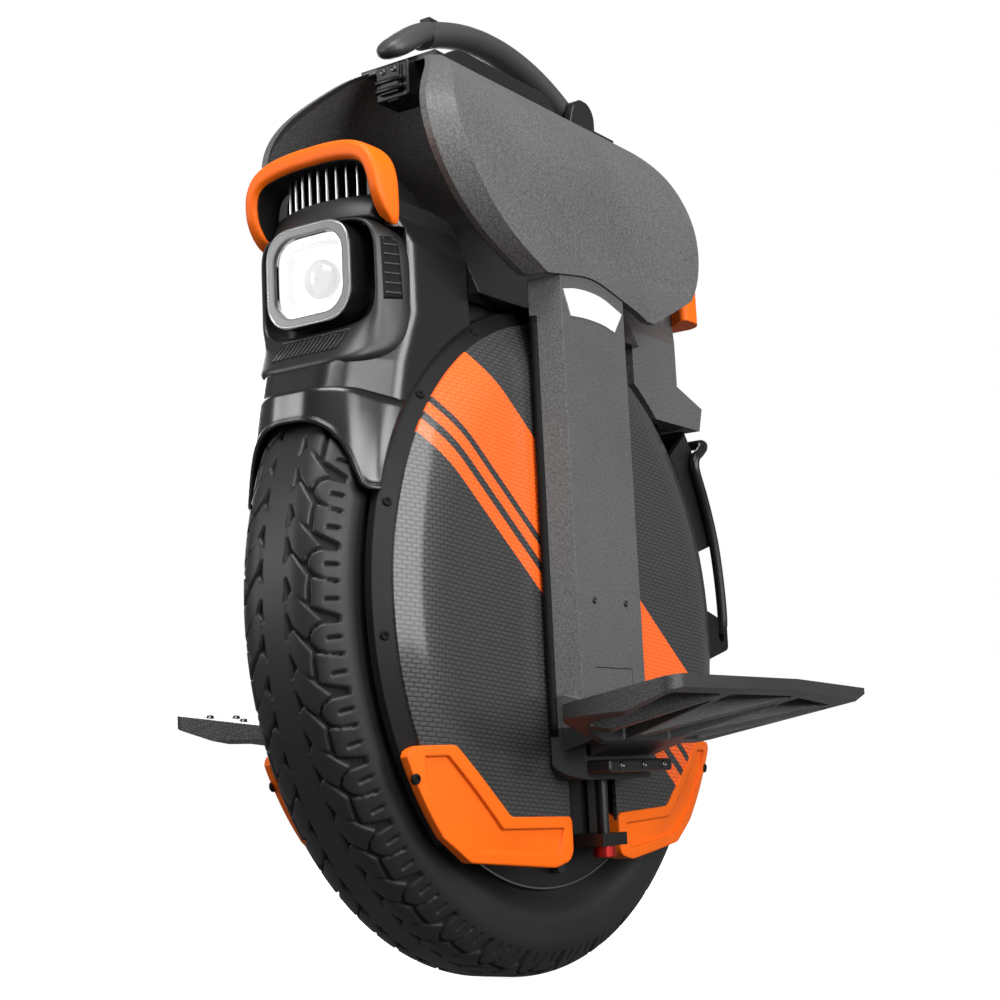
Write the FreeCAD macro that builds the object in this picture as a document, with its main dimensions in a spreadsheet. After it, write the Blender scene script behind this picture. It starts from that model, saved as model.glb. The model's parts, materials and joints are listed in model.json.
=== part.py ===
import FreeCAD, Part
import math
import os
import re
import Sketcher

# Electric unicycle with a sprung outer frame. Millimetres; X to the rider's left, Y to the rear, Z up.
# The origin is on the ground below the axle, in the middle of the tyre.

Vector = FreeCAD.Vector

# Driving sizes. Lengths are millimetres, angles degrees; names that end in share are plain ratios.
SIZES = {
    # tyre and rim
    "tyre_radius": 233, "tyre_height": 61, "tyre_half": 38, "tyre_wall": 7, "tread_thick": 11,
    "crown_share": 0.62, "shoulder_share": 0.70, "bulge_share": 0.38,
    "crown_round_share": 0.65, "shoulder_round_share": 0.42,
    "seat_half": 27, "rim_depth": 16, "flange_height": 6, "flange_width": 4,
    "well_half": 14, "well_depth": 7, "valve_radius": 4, "valve_length": 7,
    # hub motor
    "magnet_thick": 6, "air_gap": 1, "stator_half": 17,
    "slot_depth": 24, "slot_width": 8, "window_inner": 46, "window_width": 44,
    "cover_thick": 5, "cover_inset": 3, "boss_radius": 36, "boss_rise": 3,
    "bearing_radius": 23, "bearing_width": 10, "bearing_inset": 22,
    "axle_radius": 13, "axle_collar": 17, "axle_end": 9, "fit_gap": 0.05,
    # side plates, rails and their sliding carriages
    "plate_inner": 43, "plate_thick": 5, "plate_half": 27,
    "foot_thick": 8, "foot_half": 15, "foot_reach": 32,
    "neck_half": 11, "neck_depth": 3, "rail_half": 18, "rail_depth": 7,
    "groove_half": 5, "groove_depth": 2.5, "slide_gap": 0.3,
    "carriage_half": 25, "carriage_length": 48, "carriage_web": 3.6, "carriage_window": 12, "lip_gap": 1,
    # air shocks
    "shock_radius": 8.2, "shock_place": 71.4, "shock_wall": 2, "shock_cap": 8, "rod_radius": 4,
    "piston_length": 12, "piston_lift": 4, "end_radius": 7.5, "end_length": 7,
    # side discs, their edge rings and the battery packs below them
    "ring_drop": 30, "ring_face": 48, "ring_width": 16, "ring_gap": 0.5, "body_step": 10,
    "ring_step": 10, "disc_face": 65, "disc_lip": 55, "disc_edge": 1.5, "disc_wall": 2.5,
    "dome_share": 0.873, "dome_round": 90, "disc_land": 5, "channel_half": 29,
    "pack_gap": 2, "pack_round": 46,
    # orange lower bumpers
    "guard_face": 66.2, "guard_base": 49, "guard_lip": 54, "guard_over": 2, "guard_height": 77,
    "guard_recess": 2, "guard_round": 9, "guard_dome_share": 0.80,
    # legs
    "leg_outer": 86, "leg_wall": 5, "leg_inner": 67, "leg_flat": 40, "leg_half": 50.5,
    "leg_lip": 5.5, "leg_round": 15, "leg_span": 62, "seam_round": 90, "seam_gap": 0.6,
    "shelf_thick": 6, "shelf_inner": 61,
    "badge_low": 31, "badge_drop": 19, "badge_inset": 4, "badge_thick": 0.8,
    # hood panels
    "hood_height": 160, "hood_half": 87, "hood_wall": 5, "hood_bevel": 14, "hood_heel": 80,
    # handles on top
    "handle_foot": 4, "foot_span": 31, "foot_front": 92, "foot_front_length": 27,
    "foot_rear": 92, "foot_rear_length": 46,
    "arch_half": 12, "arch_front": 24, "arch_rear": 60, "arch_round": 30, "arch_leg": 15,
    "pivot_y": 122, "pivot_radius": 3.5, "cheek_inner": 9.6, "cheek_thick": 7,
    "cheek_radius": 13, "eye_radius": 11, "eye_half": 9,
    "grip_crown_y": 14, "grip_front_y": 64, "grip_half": 11, "grip_tall": 9, "cap_length": 34,
    "release_length": 10, "release_half": 4, "release_rise": 1.6, "release_depth": 5,
    "release_travel": 2, "release_gap": 0.3, "release_y": 54,
    "switch_front": 18, "switch_length": 58, "switch_half": 6, "switch_drop": 3, "switch_depth": 5,
    "switch_travel": 3,
    "latch_half": 14, "latch_front": 104, "latch_length": 28, "latch_drop": 25, "latch_slot": 6,
    # pedals
    "hinge_x": 97, "pin_radius": 4, "lug_radius": 9, "lug_inner": 41.5,
    "lug_thick": 9, "lug_root": 76, "knuckle_half": 41, "knuckle_inner": 90, "pedal_inner": 109,
    "pedal_outer": 195, "pedal_front": 118, "pedal_front_inner": 108, "pedal_heel": 44,
    "pedal_rear": 188, "pedal_rear_x": 172, "pedal_rear_inner": 60, "pedal_tip": 16, "pedal_edge": 5,
    "deck_skin": 5, "pedal_rim": 7, "pedal_rib": 5, "pedal_round": 10,
    # inner body: clearances shared by the nose, the deck and the tail
    "tyre_gap": 5, "arch_side": 44,
    "deck_top_half": 32, "deck_low_half": 60, "deck_front": 60, "deck_rear": 84, "deck_drop": 32,
    "deck_nose": 96, "deck_tail": 106,
    "button_radius": 8, "button_rise": 2, "button_depth": 5, "button_travel": 2, "button_y": 0,
    "button_gap": 0.3,
    "port_y": 46, "port_radius": 9, "port_depth": 12, "port_bore": 6, "cap_radius": 10.5,
    "cap_thick": 4, "cap_hinge": 14, "cap_ear": 3, "cap_gap": 0.3,
    # nose: cowl, fender, bumper, grille, pod and headlight
    "nose_height": 170, "nose_half": 52, "nose_chamfer": 40, "nose_round": 24, "nose_back": 97,
    "light_half": 33, "light_height": 63, "light_depth": 26, "light_wall": 6, "light_round": 18,
    "lens_thick": 3, "lens_inset": 3, "ring_band": 5, "ring_thick": 2, "bowl_wall": 2,
    "projector_radius": 13,
    "sink_height": 34, "sink_base": 5, "fin_depth": 10, "fin_thick": 3.4, "sink_pocket": 22,
    "board_thick": 2, "board_margin": 4, "trim_depth": 14, "grille_gap": 4,
    "front_bumper_half": 52, "front_bumper_band": 14, "front_bumper_lean": 20, "front_bumper_round": 34,
    "tip_round": 5,
    "tip_inset": 5, "fender_arch_half": 42, "fender_arch_round": 34,
    "pod_half": 50, "pod_lip_half": 28, "pod_edge": 6,
    # tail: cowl, bumper, light, mudguard and stand
    "tail_half": 54, "tail_front": 107, "tail_round": 6, "tail_neck_half": 36,
    "tail_light_half": 38, "tail_light_depth": 6,
    "rear_bumper_half": 54, "rear_bumper_tall": 28, "rear_bumper_thick": 20, "rear_bumper_wrap": 16,
    "rear_bumper_round": 8, "mudguard_sweep": 22, "mudguard_thick": 4, "mudguard_half": 51,
    "stand_rod": 4.5, "stand_half": 58, "stand_bend": 6, "stand_gap": 0.08,
    "lug_outer": 52, "stand_lug_radius": 10,
    # one overrun for every cutting tool
    "overrun": 40,
}

# Places: each is measured from the size or place that carries it, and follows it.
PLACES = {
    # radii about the axle
    "seat_radius": ("tyre_radius - tyre_height", 0), "motor_radius": ("seat_radius - rim_depth", 0),
    "window_outer": ("motor_radius", -44), "valve_place": ("seat_radius - rim_depth / 2", 0),
    "ring_radius": ("tyre_radius - ring_drop", 0), "disc_radius": ("ring_radius - ring_step", 0),
    # reach of the bodywork about the axle, with its lowest and highest point
    "body_reach": ("ring_radius + body_step", 0), "heel_z": ("tyre_radius - body_reach", 0),
    "crown_z": ("tyre_radius + body_reach", 0),
    # heights on the plates, the rails and the shocks
    "plate_bottom": ("heel_z", 76), "foot_bottom": ("heel_z", 62), "rail_top": ("crown_z", -12),
    "carriage_low": ("tyre_radius", -53), "carriage_high": ("crown_z", -76),
    "shock_bottom": ("tyre_radius", -17), "shock_top": ("crown_z", -18),
    # packs and lower bumpers
    "pack_length": ("disc_radius", -99), "pack_height": ("disc_radius", 5),
    "guard_bottom": ("heel_z", 51), "guard_front": ("ring_radius", -46), "guard_rear": ("ring_radius", -45),
    # legs and pedals
    "hinge_z": ("heel_z", 140), "leg_bottom": ("hinge_z", -36),
    "deck_inner_z": ("hinge_z", 8), "deck_outer_z": ("hinge_z", 21),
    "keel_inner_z": ("hinge_z", -21), "keel_outer_z": ("hinge_z", 13),
    # hoods, their seam with the legs, and the handles on top
    "seam_front": ("crown_z", 1), "seam_crown": ("crown_z", 10), "seam_rear": ("crown_z", -3),
    "hood_bottom": ("crown_z", -6), "hood_top": ("hood_bottom + hood_height", 0),
    "hood_low": ("crown_z", -8), "hood_chin": ("crown_z", 3), "hood_tail": ("crown_z", 24),
    "hood_front": ("body_reach", -58), "hood_rear": ("body_reach", -37),
    "hood_tail_reach": ("hood_rear", -30),
    "arch_under": ("hood_top", 16), "arch_crown": ("hood_top", 27), "pivot_z": ("hood_top", 21),
    "grip_crown_z": ("hood_top", 48), "grip_front_z": ("hood_top", 30),
    # deck, nose and fender
    "deck_top": ("crown_z", 56), "deck_low": ("crown_z", -14),
    "nose_bottom": ("crown_z", -94), "nose_front": ("body_reach", -1),
    "light_bottom": ("crown_z", -42), "light_front": ("body_reach", -20),
    "sink_bottom": ("crown_z", 28), "sink_front": ("body_reach", -27),
    "front_bumper_bottom": ("crown_z", 17), "front_bumper_top": ("crown_z", 83),
    "front_bumper_back": ("body_reach", -45), "front_bumper_front": ("body_reach", -21),
    "pod_bottom": ("crown_z", -72), "pod_back": ("body_reach", -56), "pod_front": ("body_reach", -18),
    "pod_lip": ("body_reach", -9), "fender_low": ("crown_z", -149), "fender_arch_z": ("crown_z", -105),
    # tail and stand
    "tail_bottom": ("crown_z", -62), "tail_lip": ("crown_z", -44), "tail_light_low": ("crown_z", -32),
    "tail_light_high": ("crown_z", 0), "tail_top": ("crown_z", 26), "tail_reach": ("body_reach", -3),
    "tail_light_y": ("body_reach", -41), "rear_bumper_low": ("crown_z", 24),
    "rear_bumper_y": ("body_reach", -9), "stand_y": ("body_reach", 9), "stand_z": ("tyre_radius", -5),
    "stand_lug_root": ("disc_radius", 1), "stand_top_y": ("body_reach", -10),
    "stand_top_z": ("tyre_radius", 133), "stand_bar_y": ("body_reach", 0),
    "stand_bar_z": ("tyre_radius", 146),
}

SLOT_COUNT = 24
WINDOW_COUNT = 6
FIN_COUNT = 10
POCKET_COUNT = 6

doc = FreeCAD.newDocument("unicycle")
sheet = doc.addObject("Spreadsheet::Sheet", "sizes")
cells = {name: str(value) for name, value in SIZES.items()}
cells.update({name: f"={datum} + {distance}" for name, (datum, distance) in PLACES.items()})
for row, (cell_name, content) in enumerate(cells.items(), 1):
    sheet.set(f"A{row}", cell_name)
    sheet.set(f"B{row}", content)
    sheet.setAlias(f"B{row}", cell_name)
doc.recompute()

nodes = []


def bound(text):
    """An expression of sizes, with each size read from the sheet."""
    def reference(word):
        return "sizes." + word.group() if word.group() in cells else word.group()
    return re.sub(r"[a-z_]+", reference, text)


def worth(text):
    """The present value of an expression of sizes."""
    return float(sheet.evalExpression(bound(text)))


def named(thing, label):
    """Register a finished sub-part under its own name."""
    thing.Label = label
    nodes.append(thing)
    return thing


# Sketching


def sketch_on(body, plane, offset="0"):
    """A sketch on one of the body's own origin planes, moved along the plane's normal."""
    sketch = body.newObject("Sketcher::SketchObject", body.Name + "_sketch")
    support = next(f for f in body.Origin.OriginFeatures if f.Role == plane)
    sketch.AttachmentSupport = [(support, "")]
    sketch.MapMode = "FlatFace"
    sketch.setExpression("AttachmentOffset.Base.z", bound(offset))
    return sketch


def pin_point(rules, texts, index, place, at, corner):
    """Hold one point of the sketch at the corner's two expressions."""
    for kind, text, value in (("DistanceX", corner[0], at.x), ("DistanceY", corner[1], at.y)):
        texts[len(rules)] = text
        rules.append(Sketcher.Constraint(kind, index, place, value))


def outline(sketch, corners):
    """A closed run of straight edges through corners (x, y) or rounded corners (x, y, radius)."""
    count = len(corners)
    points = [Vector(worth(c[0]), worth(c[1]), 0) for c in corners]
    radii = [worth(c[2]) if len(c) > 2 else 0 for c in corners]
    ways = [(points[(i + 1) % count] - points[i]).normalize() for i in range(count)]
    starts, ends, arcs = [], [], {}
    for i in range(count):
        before, after = ways[i - 1], ways[i]
        half_turn = before.getAngle(after) / 2
        reach = radii[i] * math.tan(half_turn)
        ends.append(points[i] - before * reach)
        starts.append(points[i] + after * reach)
        if radii[i]:
            inward = (after - before).normalize()
            middle = points[i] + inward * (radii[i] / math.cos(half_turn) - radii[i])
            arcs[i] = Part.ArcOfCircle(ends[i], middle, starts[i])
    lines = [sketch.addGeometry(Part.LineSegment(starts[i], ends[(i + 1) % count])) for i in range(count)]
    rules, texts = [], {}
    for i, corner in enumerate(corners):
        before, after = lines[i - 1], lines[i]
        if i not in arcs:
            rules.append(Sketcher.Constraint("Coincident", before, 2, after, 1))
            pin_point(rules, texts, after, 1, points[i], corner)
            continue
        arc = sketch.addGeometry(arcs[i])
        knot = sketch.addGeometry(Part.Point(points[i]), True)
        first, last = (1, 2) if ways[i - 1].cross(ways[i]).z > 0 else (2, 1)
        rules.append(Sketcher.Constraint("Tangent", before, 2, arc, first))
        rules.append(Sketcher.Constraint("Tangent", arc, last, after, 1))
        rules.append(Sketcher.Constraint("PointOnObject", knot, 1, before))
        rules.append(Sketcher.Constraint("PointOnObject", knot, 1, after))
        texts[len(rules)] = corner[2]
        rules.append(Sketcher.Constraint("Radius", arc, radii[i]))
        pin_point(rules, texts, knot, 1, points[i], corner)
    bind_rules(sketch, rules, texts)


def circle(sketch, x, y, radius):
    """A circle held by expressions for its centre and radius."""
    centre = Vector(worth(x), worth(y), 0)
    ring = sketch.addGeometry(Part.Circle(centre, Vector(0, 0, 1), worth(radius)))
    rules, texts = [], {0: radius}
    rules.append(Sketcher.Constraint("Radius", ring, worth(radius)))
    pin_point(rules, texts, ring, 3, centre, (x, y))
    bind_rules(sketch, rules, texts)


def bind_rules(sketch, rules, texts):
    """Add constraints and bind the measured ones to the sheet."""
    indices = sketch.addConstraint(rules)
    for order, text in texts.items():
        sketch.setExpression(f"Constraints[{indices[order]}]", bound(text))


def spread(shares, left, width, bottom, height):
    """Corners at shares of a width and a height; a third entry rounds the corner."""
    return [(f"{left} + {s[0]} * {width}", f"{bottom} + {s[1]} * {height}", *s[2:]) for s in shares]


def mirrored_outline(half):
    """Corners of one half from bottom to top, followed by their mirror image in the sketch's upright axis."""
    return half + [(f"-({c[0]})", *c[1:]) for c in reversed(half)]


# Solids


def new_body(label, place=("0", "0", "0"), turn=0):
    """An empty body at a place given by expressions, turned about X."""
    body = doc.addObject("PartDesign::Body", label)
    body.Placement.Rotation = FreeCAD.Rotation(Vector(1, 0, 0), turn)
    for axis, text in zip("xyz", place):
        body.setExpression(f"Placement.Base.{axis}", bound(text))
    return body


def prism(label, plane, low, high, *profiles):
    """Outlines, or circles (x, y, radius as a tuple), padded between two positions along the plane's axis."""
    body = new_body(label)
    backward = plane == "XZ_Plane"
    sketch = sketch_on(body, plane, f"-({high})" if backward else low)
    for profile in profiles:
        if isinstance(profile, tuple):
            circle(sketch, *profile)
        else:
            outline(sketch, profile)
    pad = body.newObject("PartDesign::Pad", label + "_pad")
    pad.Profile = sketch
    pad.setExpression("Length", bound(f"{high} - ({low})"))
    return body


def turned(label, corners, start=0, sweep=None):
    """An outline of (x, radius) corners turned about the axle, whole or through an angle from a start."""
    body = new_body(label, ("0", "0", "tyre_radius"), start)
    sketch = sketch_on(body, "XZ_Plane")
    outline(sketch, corners)
    turn = body.newObject("PartDesign::Revolution", label + "_turn")
    turn.Profile = sketch
    turn.ReferenceAxis = (sketch, ["H_Axis"])
    if sweep:
        turn.setExpression("Angle", bound(sweep))
    else:
        turn.Angle = 360
    return body


def lofted(label, sections, ruled=False):
    """A solid through outlines at rising heights."""
    body = new_body(label)
    sketches = []
    for height, corners in sections:
        sketch = sketch_on(body, "XY_Plane", height)
        outline(sketch, corners)
        sketches.append(sketch)
    loft = body.newObject("PartDesign::AdditiveLoft", label + "_loft")
    loft.Profile = sketches[0]
    loft.Sections = sketches[1:]
    loft.Ruled = ruled
    return body


def block(label, x, y, z):
    """A box between pairs of expressions along each axis."""
    box = doc.addObject("Part::Box", label)
    for side, axis, (low, high) in zip(("Length", "Width", "Height"), "xyz", (x, y, z)):
        box.setExpression(side, bound(f"{high} - ({low})"))
        box.setExpression(f"Placement.Base.{axis}", bound(low))
    return box


def rod(label, axis, place, radius, low, high):
    """A cylinder along X, Y or Z between two positions; place holds the other two coordinates in order."""
    cylinder = doc.addObject("Part::Cylinder", label)
    turns = {"x": (Vector(0, 1, 0), 90), "y": (Vector(1, 0, 0), -90), "z": (Vector(0, 0, 1), 0)}
    cylinder.Placement.Rotation = FreeCAD.Rotation(*turns[axis])
    cylinder.setExpression("Radius", bound(radius))
    cylinder.setExpression("Height", bound(f"{high} - ({low})"))
    others = iter(place)
    for letter in "xyz":
        text = low if letter == axis else next(others)
        cylinder.setExpression(f"Placement.Base.{letter}", bound(text))
    return cylinder


def cut(label, base, *tools):
    """A base less one or more tools."""
    result = doc.addObject("Part::Cut", label)
    result.Base = base
    result.Tool = tools[0] if len(tools) == 1 else fuse(label + "_tools", *tools)
    return result


def fuse(label, *things):
    """Touching or overlapping solids made one."""
    result = doc.addObject("Part::MultiFuse", label)
    result.Shapes = list(things)
    result.Refine = True
    return result


def common(label, one, other):
    """What two solids share."""
    result = doc.addObject("Part::Common", label)
    result.Base = one
    result.Tool = other
    return result


def group(label, *things):
    """Separate solids that share one name."""
    result = doc.addObject("Part::Compound", label)
    result.Links = list(things)
    return result


def mirror(label, thing):
    """The same piece on the rider's right."""
    result = doc.addObject("Part::Mirroring", label)
    result.Source = thing
    result.Normal = Vector(1, 0, 0)
    return result


def both_sides(thing, name):
    """Name a left piece and its mirror image on the right."""
    named(thing, "left_" + name)
    named(mirror("right_" + name, thing), "right_" + name)


def pair(thing, name):
    """A left piece and its mirror image under one name."""
    named(group(name, thing, mirror(name + "_right", thing)), name)


# Wheel


def tyre():
    section = "(tyre_radius - seat_radius)"
    outer = [
        ("seat_half", "seat_radius"),
        ("seat_half", "seat_radius + flange_height + flange_width / 4"),
        ("tyre_half", f"seat_radius + bulge_share * {section}", "shoulder_round_share * tyre_half"),
        ("tyre_half", f"seat_radius + shoulder_share * {section}", "shoulder_round_share * tyre_half"),
        ("crown_share * tyre_half", "tyre_radius", "crown_round_share * tyre_half"),
    ]
    inner = [
        ("seat_half - tyre_wall", "seat_radius"),
        ("tyre_half - tyre_wall", f"seat_radius + bulge_share * {section}"),
        ("tyre_half - tyre_wall", f"seat_radius + shoulder_share * {section} - tread_thick / 2"),
        ("crown_share * tyre_half", "tyre_radius - tread_thick"),
    ]
    left_inner = [(f"-({x})", z) for x, z in inner]
    named(turned("tyre", mirrored_outline(outer) + left_inner + inner[::-1]), "tyre")


def rim():
    half = [
        ("seat_half + flange_width", "motor_radius"),
        ("seat_half + flange_width", "seat_radius + flange_height"),
        ("seat_half", "seat_radius + flange_height"),
        ("seat_half", "seat_radius"),
        ("well_half + well_depth / 2", "seat_radius"),
        ("well_half", "seat_radius - well_depth"),
    ]
    named(turned("rim", mirrored_outline(half)), "rim")
    side = "seat_half + flange_width"
    place = ("0", "tyre_radius - valve_place")
    named(rod("valve", "x", place, "valve_radius", side, side + " + valve_length"), "valve")


def motor():
    edge = "seat_half + flange_width - cover_inset"
    cover = turned("left_cover", [
        (f"{edge} - cover_thick", "boss_radius"),
        ("bearing_inset", "boss_radius"),
        ("bearing_inset", "bearing_radius"),
        ("bearing_inset + bearing_width + boss_rise", "bearing_radius"),
        ("bearing_inset + bearing_width + boss_rise", "boss_radius"),
        (edge, "boss_radius + cover_thick"),
        (edge, "motor_radius"),
        (f"{edge} - cover_thick", "motor_radius"),
    ])
    pair(cover, "motor_covers")
    ring_half = "stator_half + air_gap"
    named(turned("magnet_ring", [
        (f"-({ring_half})", "motor_radius - magnet_thick"),
        (ring_half, "motor_radius - magnet_thick"),
        (ring_half, "motor_radius"),
        (f"-({ring_half})", "motor_radius"),
    ]), "magnet_ring")
    bearing = turned("left_bearing", [
        ("bearing_inset", "axle_radius + fit_gap"),
        ("bearing_inset + bearing_width", "axle_radius + fit_gap"),
        ("bearing_inset + bearing_width", "bearing_radius"),
        ("bearing_inset", "bearing_radius"),
    ])
    pair(bearing, "wheel_bearings")


def axle():
    half = [
        ("plate_inner + plate_thick", "0"),
        ("plate_inner + plate_thick", "axle_end"),
        ("plate_inner", "axle_end"),
        ("plate_inner", "axle_radius"),
        ("bearing_inset - fit_gap", "axle_radius"),
        ("bearing_inset - fit_gap", "axle_collar"),
    ]
    named(turned("axle", mirrored_outline(half)), "axle")


def stator():
    """Laminated core: a slotted rim on six spokes."""
    outer = "motor_radius - magnet_thick - air_gap"
    body = new_body("stator", ("0", "0", "tyre_radius"))
    disc = sketch_on(body, "YZ_Plane", "-stator_half")
    circle(disc, "0", "0", outer)
    circle(disc, "0", "0", "axle_collar")
    pad = body.newObject("PartDesign::Pad", "stator_pad")
    pad.Profile = disc
    pad.setExpression("Length", bound("2 * stator_half"))
    slot = [("-slot_width / 2", f"{outer} - slot_depth"), ("slot_width / 2", f"{outer} - slot_depth"),
            ("slot_width / 2", f"{outer} + slot_width"), ("-slot_width / 2", f"{outer} + slot_width")]
    window = [("-slot_width", "window_inner", "slot_width / 2"),
              ("slot_width", "window_inner", "slot_width / 2"),
              ("window_width / 2", "window_outer", "slot_width"),
              ("-window_width / 2", "window_outer", "slot_width")]
    for name, corners, count in (("slot", slot, SLOT_COUNT), ("window", window, WINDOW_COUNT)):
        sketch = sketch_on(body, "YZ_Plane", "-stator_half")
        outline(sketch, corners)
        pocket = body.newObject("PartDesign::Pocket", name)
        pocket.Profile = sketch
        pocket.setExpression("Length", bound("2 * stator_half"))
        pocket.Reversed = True
        pattern = body.newObject("PartDesign::PolarPattern", name + "_pattern")
        pattern.Originals = [pocket]
        pattern.Axis = (sketch, ["N_Axis"])
        pattern.Angle = 360
        pattern.Occurrences = count
        body.Tip = pattern
    named(body, "stator")


# Side plates, rails, carriages and shocks


def axle_plate():
    top = "tyre_radius + ring_radius + overrun"
    strip = prism("plate_strip", "YZ_Plane", "plate_inner", "plate_inner + plate_thick", [
        ("-plate_half", "plate_bottom"), ("plate_half", "plate_bottom"), ("plate_half", top),
        ("-plate_half", top)], ("0", "tyre_radius", "axle_end"))
    under_deck = rod("plate_crown", "x", ("0", "tyre_radius"), "ring_radius + ring_gap", "0", "hood_half")
    bar = common("plate_bar", strip, under_deck)
    foot = block("plate_foot", ("plate_inner", "plate_inner + foot_reach + plate_thick"),
                 ("-foot_half", "foot_half"), ("foot_bottom", "foot_bottom + foot_thick"))
    web = block("plate_web", ("plate_inner", "plate_inner + plate_thick"), ("-foot_half", "foot_half"),
                ("foot_bottom", "plate_bottom"))
    both_sides(fuse("left_axle_plate", bar, foot, web), "axle_plate")


def rail():
    base = "plate_inner + plate_thick"
    head = f"{base} + neck_depth"
    face = f"{head} + rail_depth"
    half = [("neck_half", base), ("neck_half", head), ("rail_half", head), ("rail_half", face),
            ("groove_half", face), ("groove_half", f"{face} - groove_depth")]
    section = [(x, y) for y, x in mirrored_outline(half)]
    pair(prism("left_rail", "XY_Plane", "foot_bottom + foot_thick", "rail_top", section), "rails")


def carriages():
    base = "plate_inner + plate_thick"
    back = f"{base} + lip_gap"
    hook = f"{base} + neck_depth - slide_gap"
    face = f"{base} + neck_depth + rail_depth + slide_gap"
    half = [("carriage_half", back), ("carriage_half", "leg_outer - leg_wall"),
            ("carriage_window", "leg_outer - leg_wall"), ("carriage_window", f"{face} + carriage_web")]
    inside = [("rail_half + slide_gap", face), ("rail_half + slide_gap", hook),
              ("neck_half + slide_gap", hook), ("neck_half + slide_gap", back)]
    loop = mirrored_outline(half) + [(f"-({y})", x) for y, x in inside[::-1]] + inside
    section = [(x, y) for y, x in loop]
    low = prism("carriage_lower", "XY_Plane", "carriage_low", "carriage_low + carriage_length", section)
    high = prism("carriage_upper", "XY_Plane", "carriage_high", "carriage_high + carriage_length", section)
    pair(group("left_carriages", low, high), "slide_carriages")


def shocks():
    place = ("shock_place", "0")
    piston = "shock_radius - shock_wall"
    tube = rod("shock_tube", "z", place, "shock_radius", "shock_bottom", "shock_top")
    bore = rod("shock_bore", "z", place, f"{piston} + fit_gap", "shock_bottom + shock_cap",
               "shock_top - shock_cap")
    neck = rod("shock_neck", "z", place, "rod_radius + fit_gap", "shock_bottom - overrun",
               "shock_bottom + 2 * shock_cap")
    pair(cut("left_shock_cylinder", tube, bore, neck), "shock_cylinders")
    low = "shock_bottom + shock_cap + piston_lift"
    shaft = rod("shock_shaft", "z", place, "rod_radius", "foot_bottom + foot_thick", low)
    head = rod("shock_piston", "z", place, piston, low, f"{low} + piston_length")
    pair(fuse("left_shock_rod", shaft, head), "shock_rods")
    end = rod("left_shock_end", "z", place, "end_radius", "foot_bottom - end_length", "foot_bottom")
    pair(end, "shock_ends")


# Side discs, edge rings, packs and lower bumpers

# Shares of the bumper's length from its inner end, and of its height; the third entry is a rounding.
GUARD_SHARES = [(0, 0.05, "guard_round"), (0.12, 0, "guard_round"), (0.62, 0.10, "guard_round"),
                (0.82, 0.36, "guard_round"), (0.97, 0.72, "guard_round"), (1, 1, "guard_round"),
                (0.76, 1, "guard_round"), (0.43, 0.43, "guard_round"), (0, 0.40, "guard_round / 2")]
GUARD_FACE_SHARES = [(0.10, 0.10), (0.57, 0.18), (0.76, 0.42), (0.88, 0.74), (0.90, 0.92),
                     (0.79, 0.92), (0.47, 0.34), (0.06, 0.31)]


def guard_dome(label, inset):
    """The curved form that the bumpers' faces follow, drawn in by an inset."""
    rim = "ring_radius + guard_over"
    return turned(label, [
        ("plate_inner", "axle_end"), (f"guard_face - {inset}", "axle_end"),
        (f"guard_face - {inset}", "guard_dome_share * ring_radius", "dome_round"),
        (f"guard_lip - {inset}", rim), ("plate_inner", rim)])


def guard(name, way, length):
    """An orange bumper with a raised rim; way is -1 for the front and 1 for the rear."""
    start, span = f"{way} * channel_half", f"{way} * {length}"
    edge = spread(GUARD_SHARES, start, span, "guard_bottom", "guard_height")
    face = spread(GUARD_FACE_SHARES, start, span, "guard_bottom", "guard_height")
    blank = prism(name + "_blank", "YZ_Plane", "guard_base", "guard_face + overrun", edge)
    shell = common(name + "_shell", blank, guard_dome(name + "_dome", "0"))
    well = prism(name + "_well", "YZ_Plane", "guard_base", "guard_face + overrun", face)
    recess = cut(name + "_recess", well, guard_dome(name + "_floor", "guard_recess"))
    both_sides(cut("left_" + name, shell, recess), name)
    return blank


def discs():
    blanks = [guard("front_guard", -1, "guard_front"), guard("rear_guard", 1, "guard_rear")]
    inner = "disc_wall"
    dome = turned("disc_dome", [
        ("disc_lip", "disc_radius - disc_land"),
        ("disc_lip", "disc_radius"),
        ("disc_lip + disc_edge", "disc_radius"),
        ("disc_face", "dome_share * disc_radius", "dome_round"),
        ("disc_face", "axle_end"),
        (f"disc_face - {inner}", "axle_end"),
        (f"disc_face - {inner}", f"dome_share * disc_radius - {inner}", f"dome_round - {inner}"),
    ])
    channel = block("disc_channel", ("ring_face - overrun", "disc_face + overrun"),
                    ("-channel_half", "channel_half"),
                    ("tyre_radius - ring_radius - overrun", "tyre_radius + ring_radius + overrun"))
    keel = block("disc_keel", ("plate_inner - overrun", "disc_face + overrun"),
                 ("-ring_radius - overrun", "ring_radius + overrun"),
                 ("-overrun", "guard_bottom + guard_height / 4"))
    both_sides(cut("left_disc_cover", dome, channel, keel, *blanks), "disc_cover")
    hoop = turned("ring_hoop", [
        ("plate_inner", "ring_radius - ring_width"),
        ("plate_inner", "ring_radius"),
        ("ring_face", "ring_radius"),
        ("disc_lip", "disc_radius"),
        ("disc_lip", "ring_radius - ring_width"),
    ])
    whole = fuse("ring_and_lug", hoop, stand_lug())
    bore = rod("lug_bore", "x", ("stand_y", "stand_z"), "stand_rod + stand_gap", "plate_inner - overrun",
               "lug_outer + overrun")
    both_sides(cut("left_edge_ring", whole, bore, keel, channel, *blanks), "edge_ring")
    for way in (-1, 1):
        near = f"{way} * (channel_half + pack_gap)"
        far = f"{way} * (channel_half + pack_gap + pack_length)"
        low, high = "tyre_radius - pack_height / 2", "tyre_radius + pack_height / 2"
        yield prism(f"pack_{'front' if way < 0 else 'rear'}", "YZ_Plane", "plate_inner + pack_gap",
                    "disc_face - disc_wall",
                    [(near, low), (far, low, "pack_round"), (far, high, "pack_round"), (near, high)])


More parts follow.
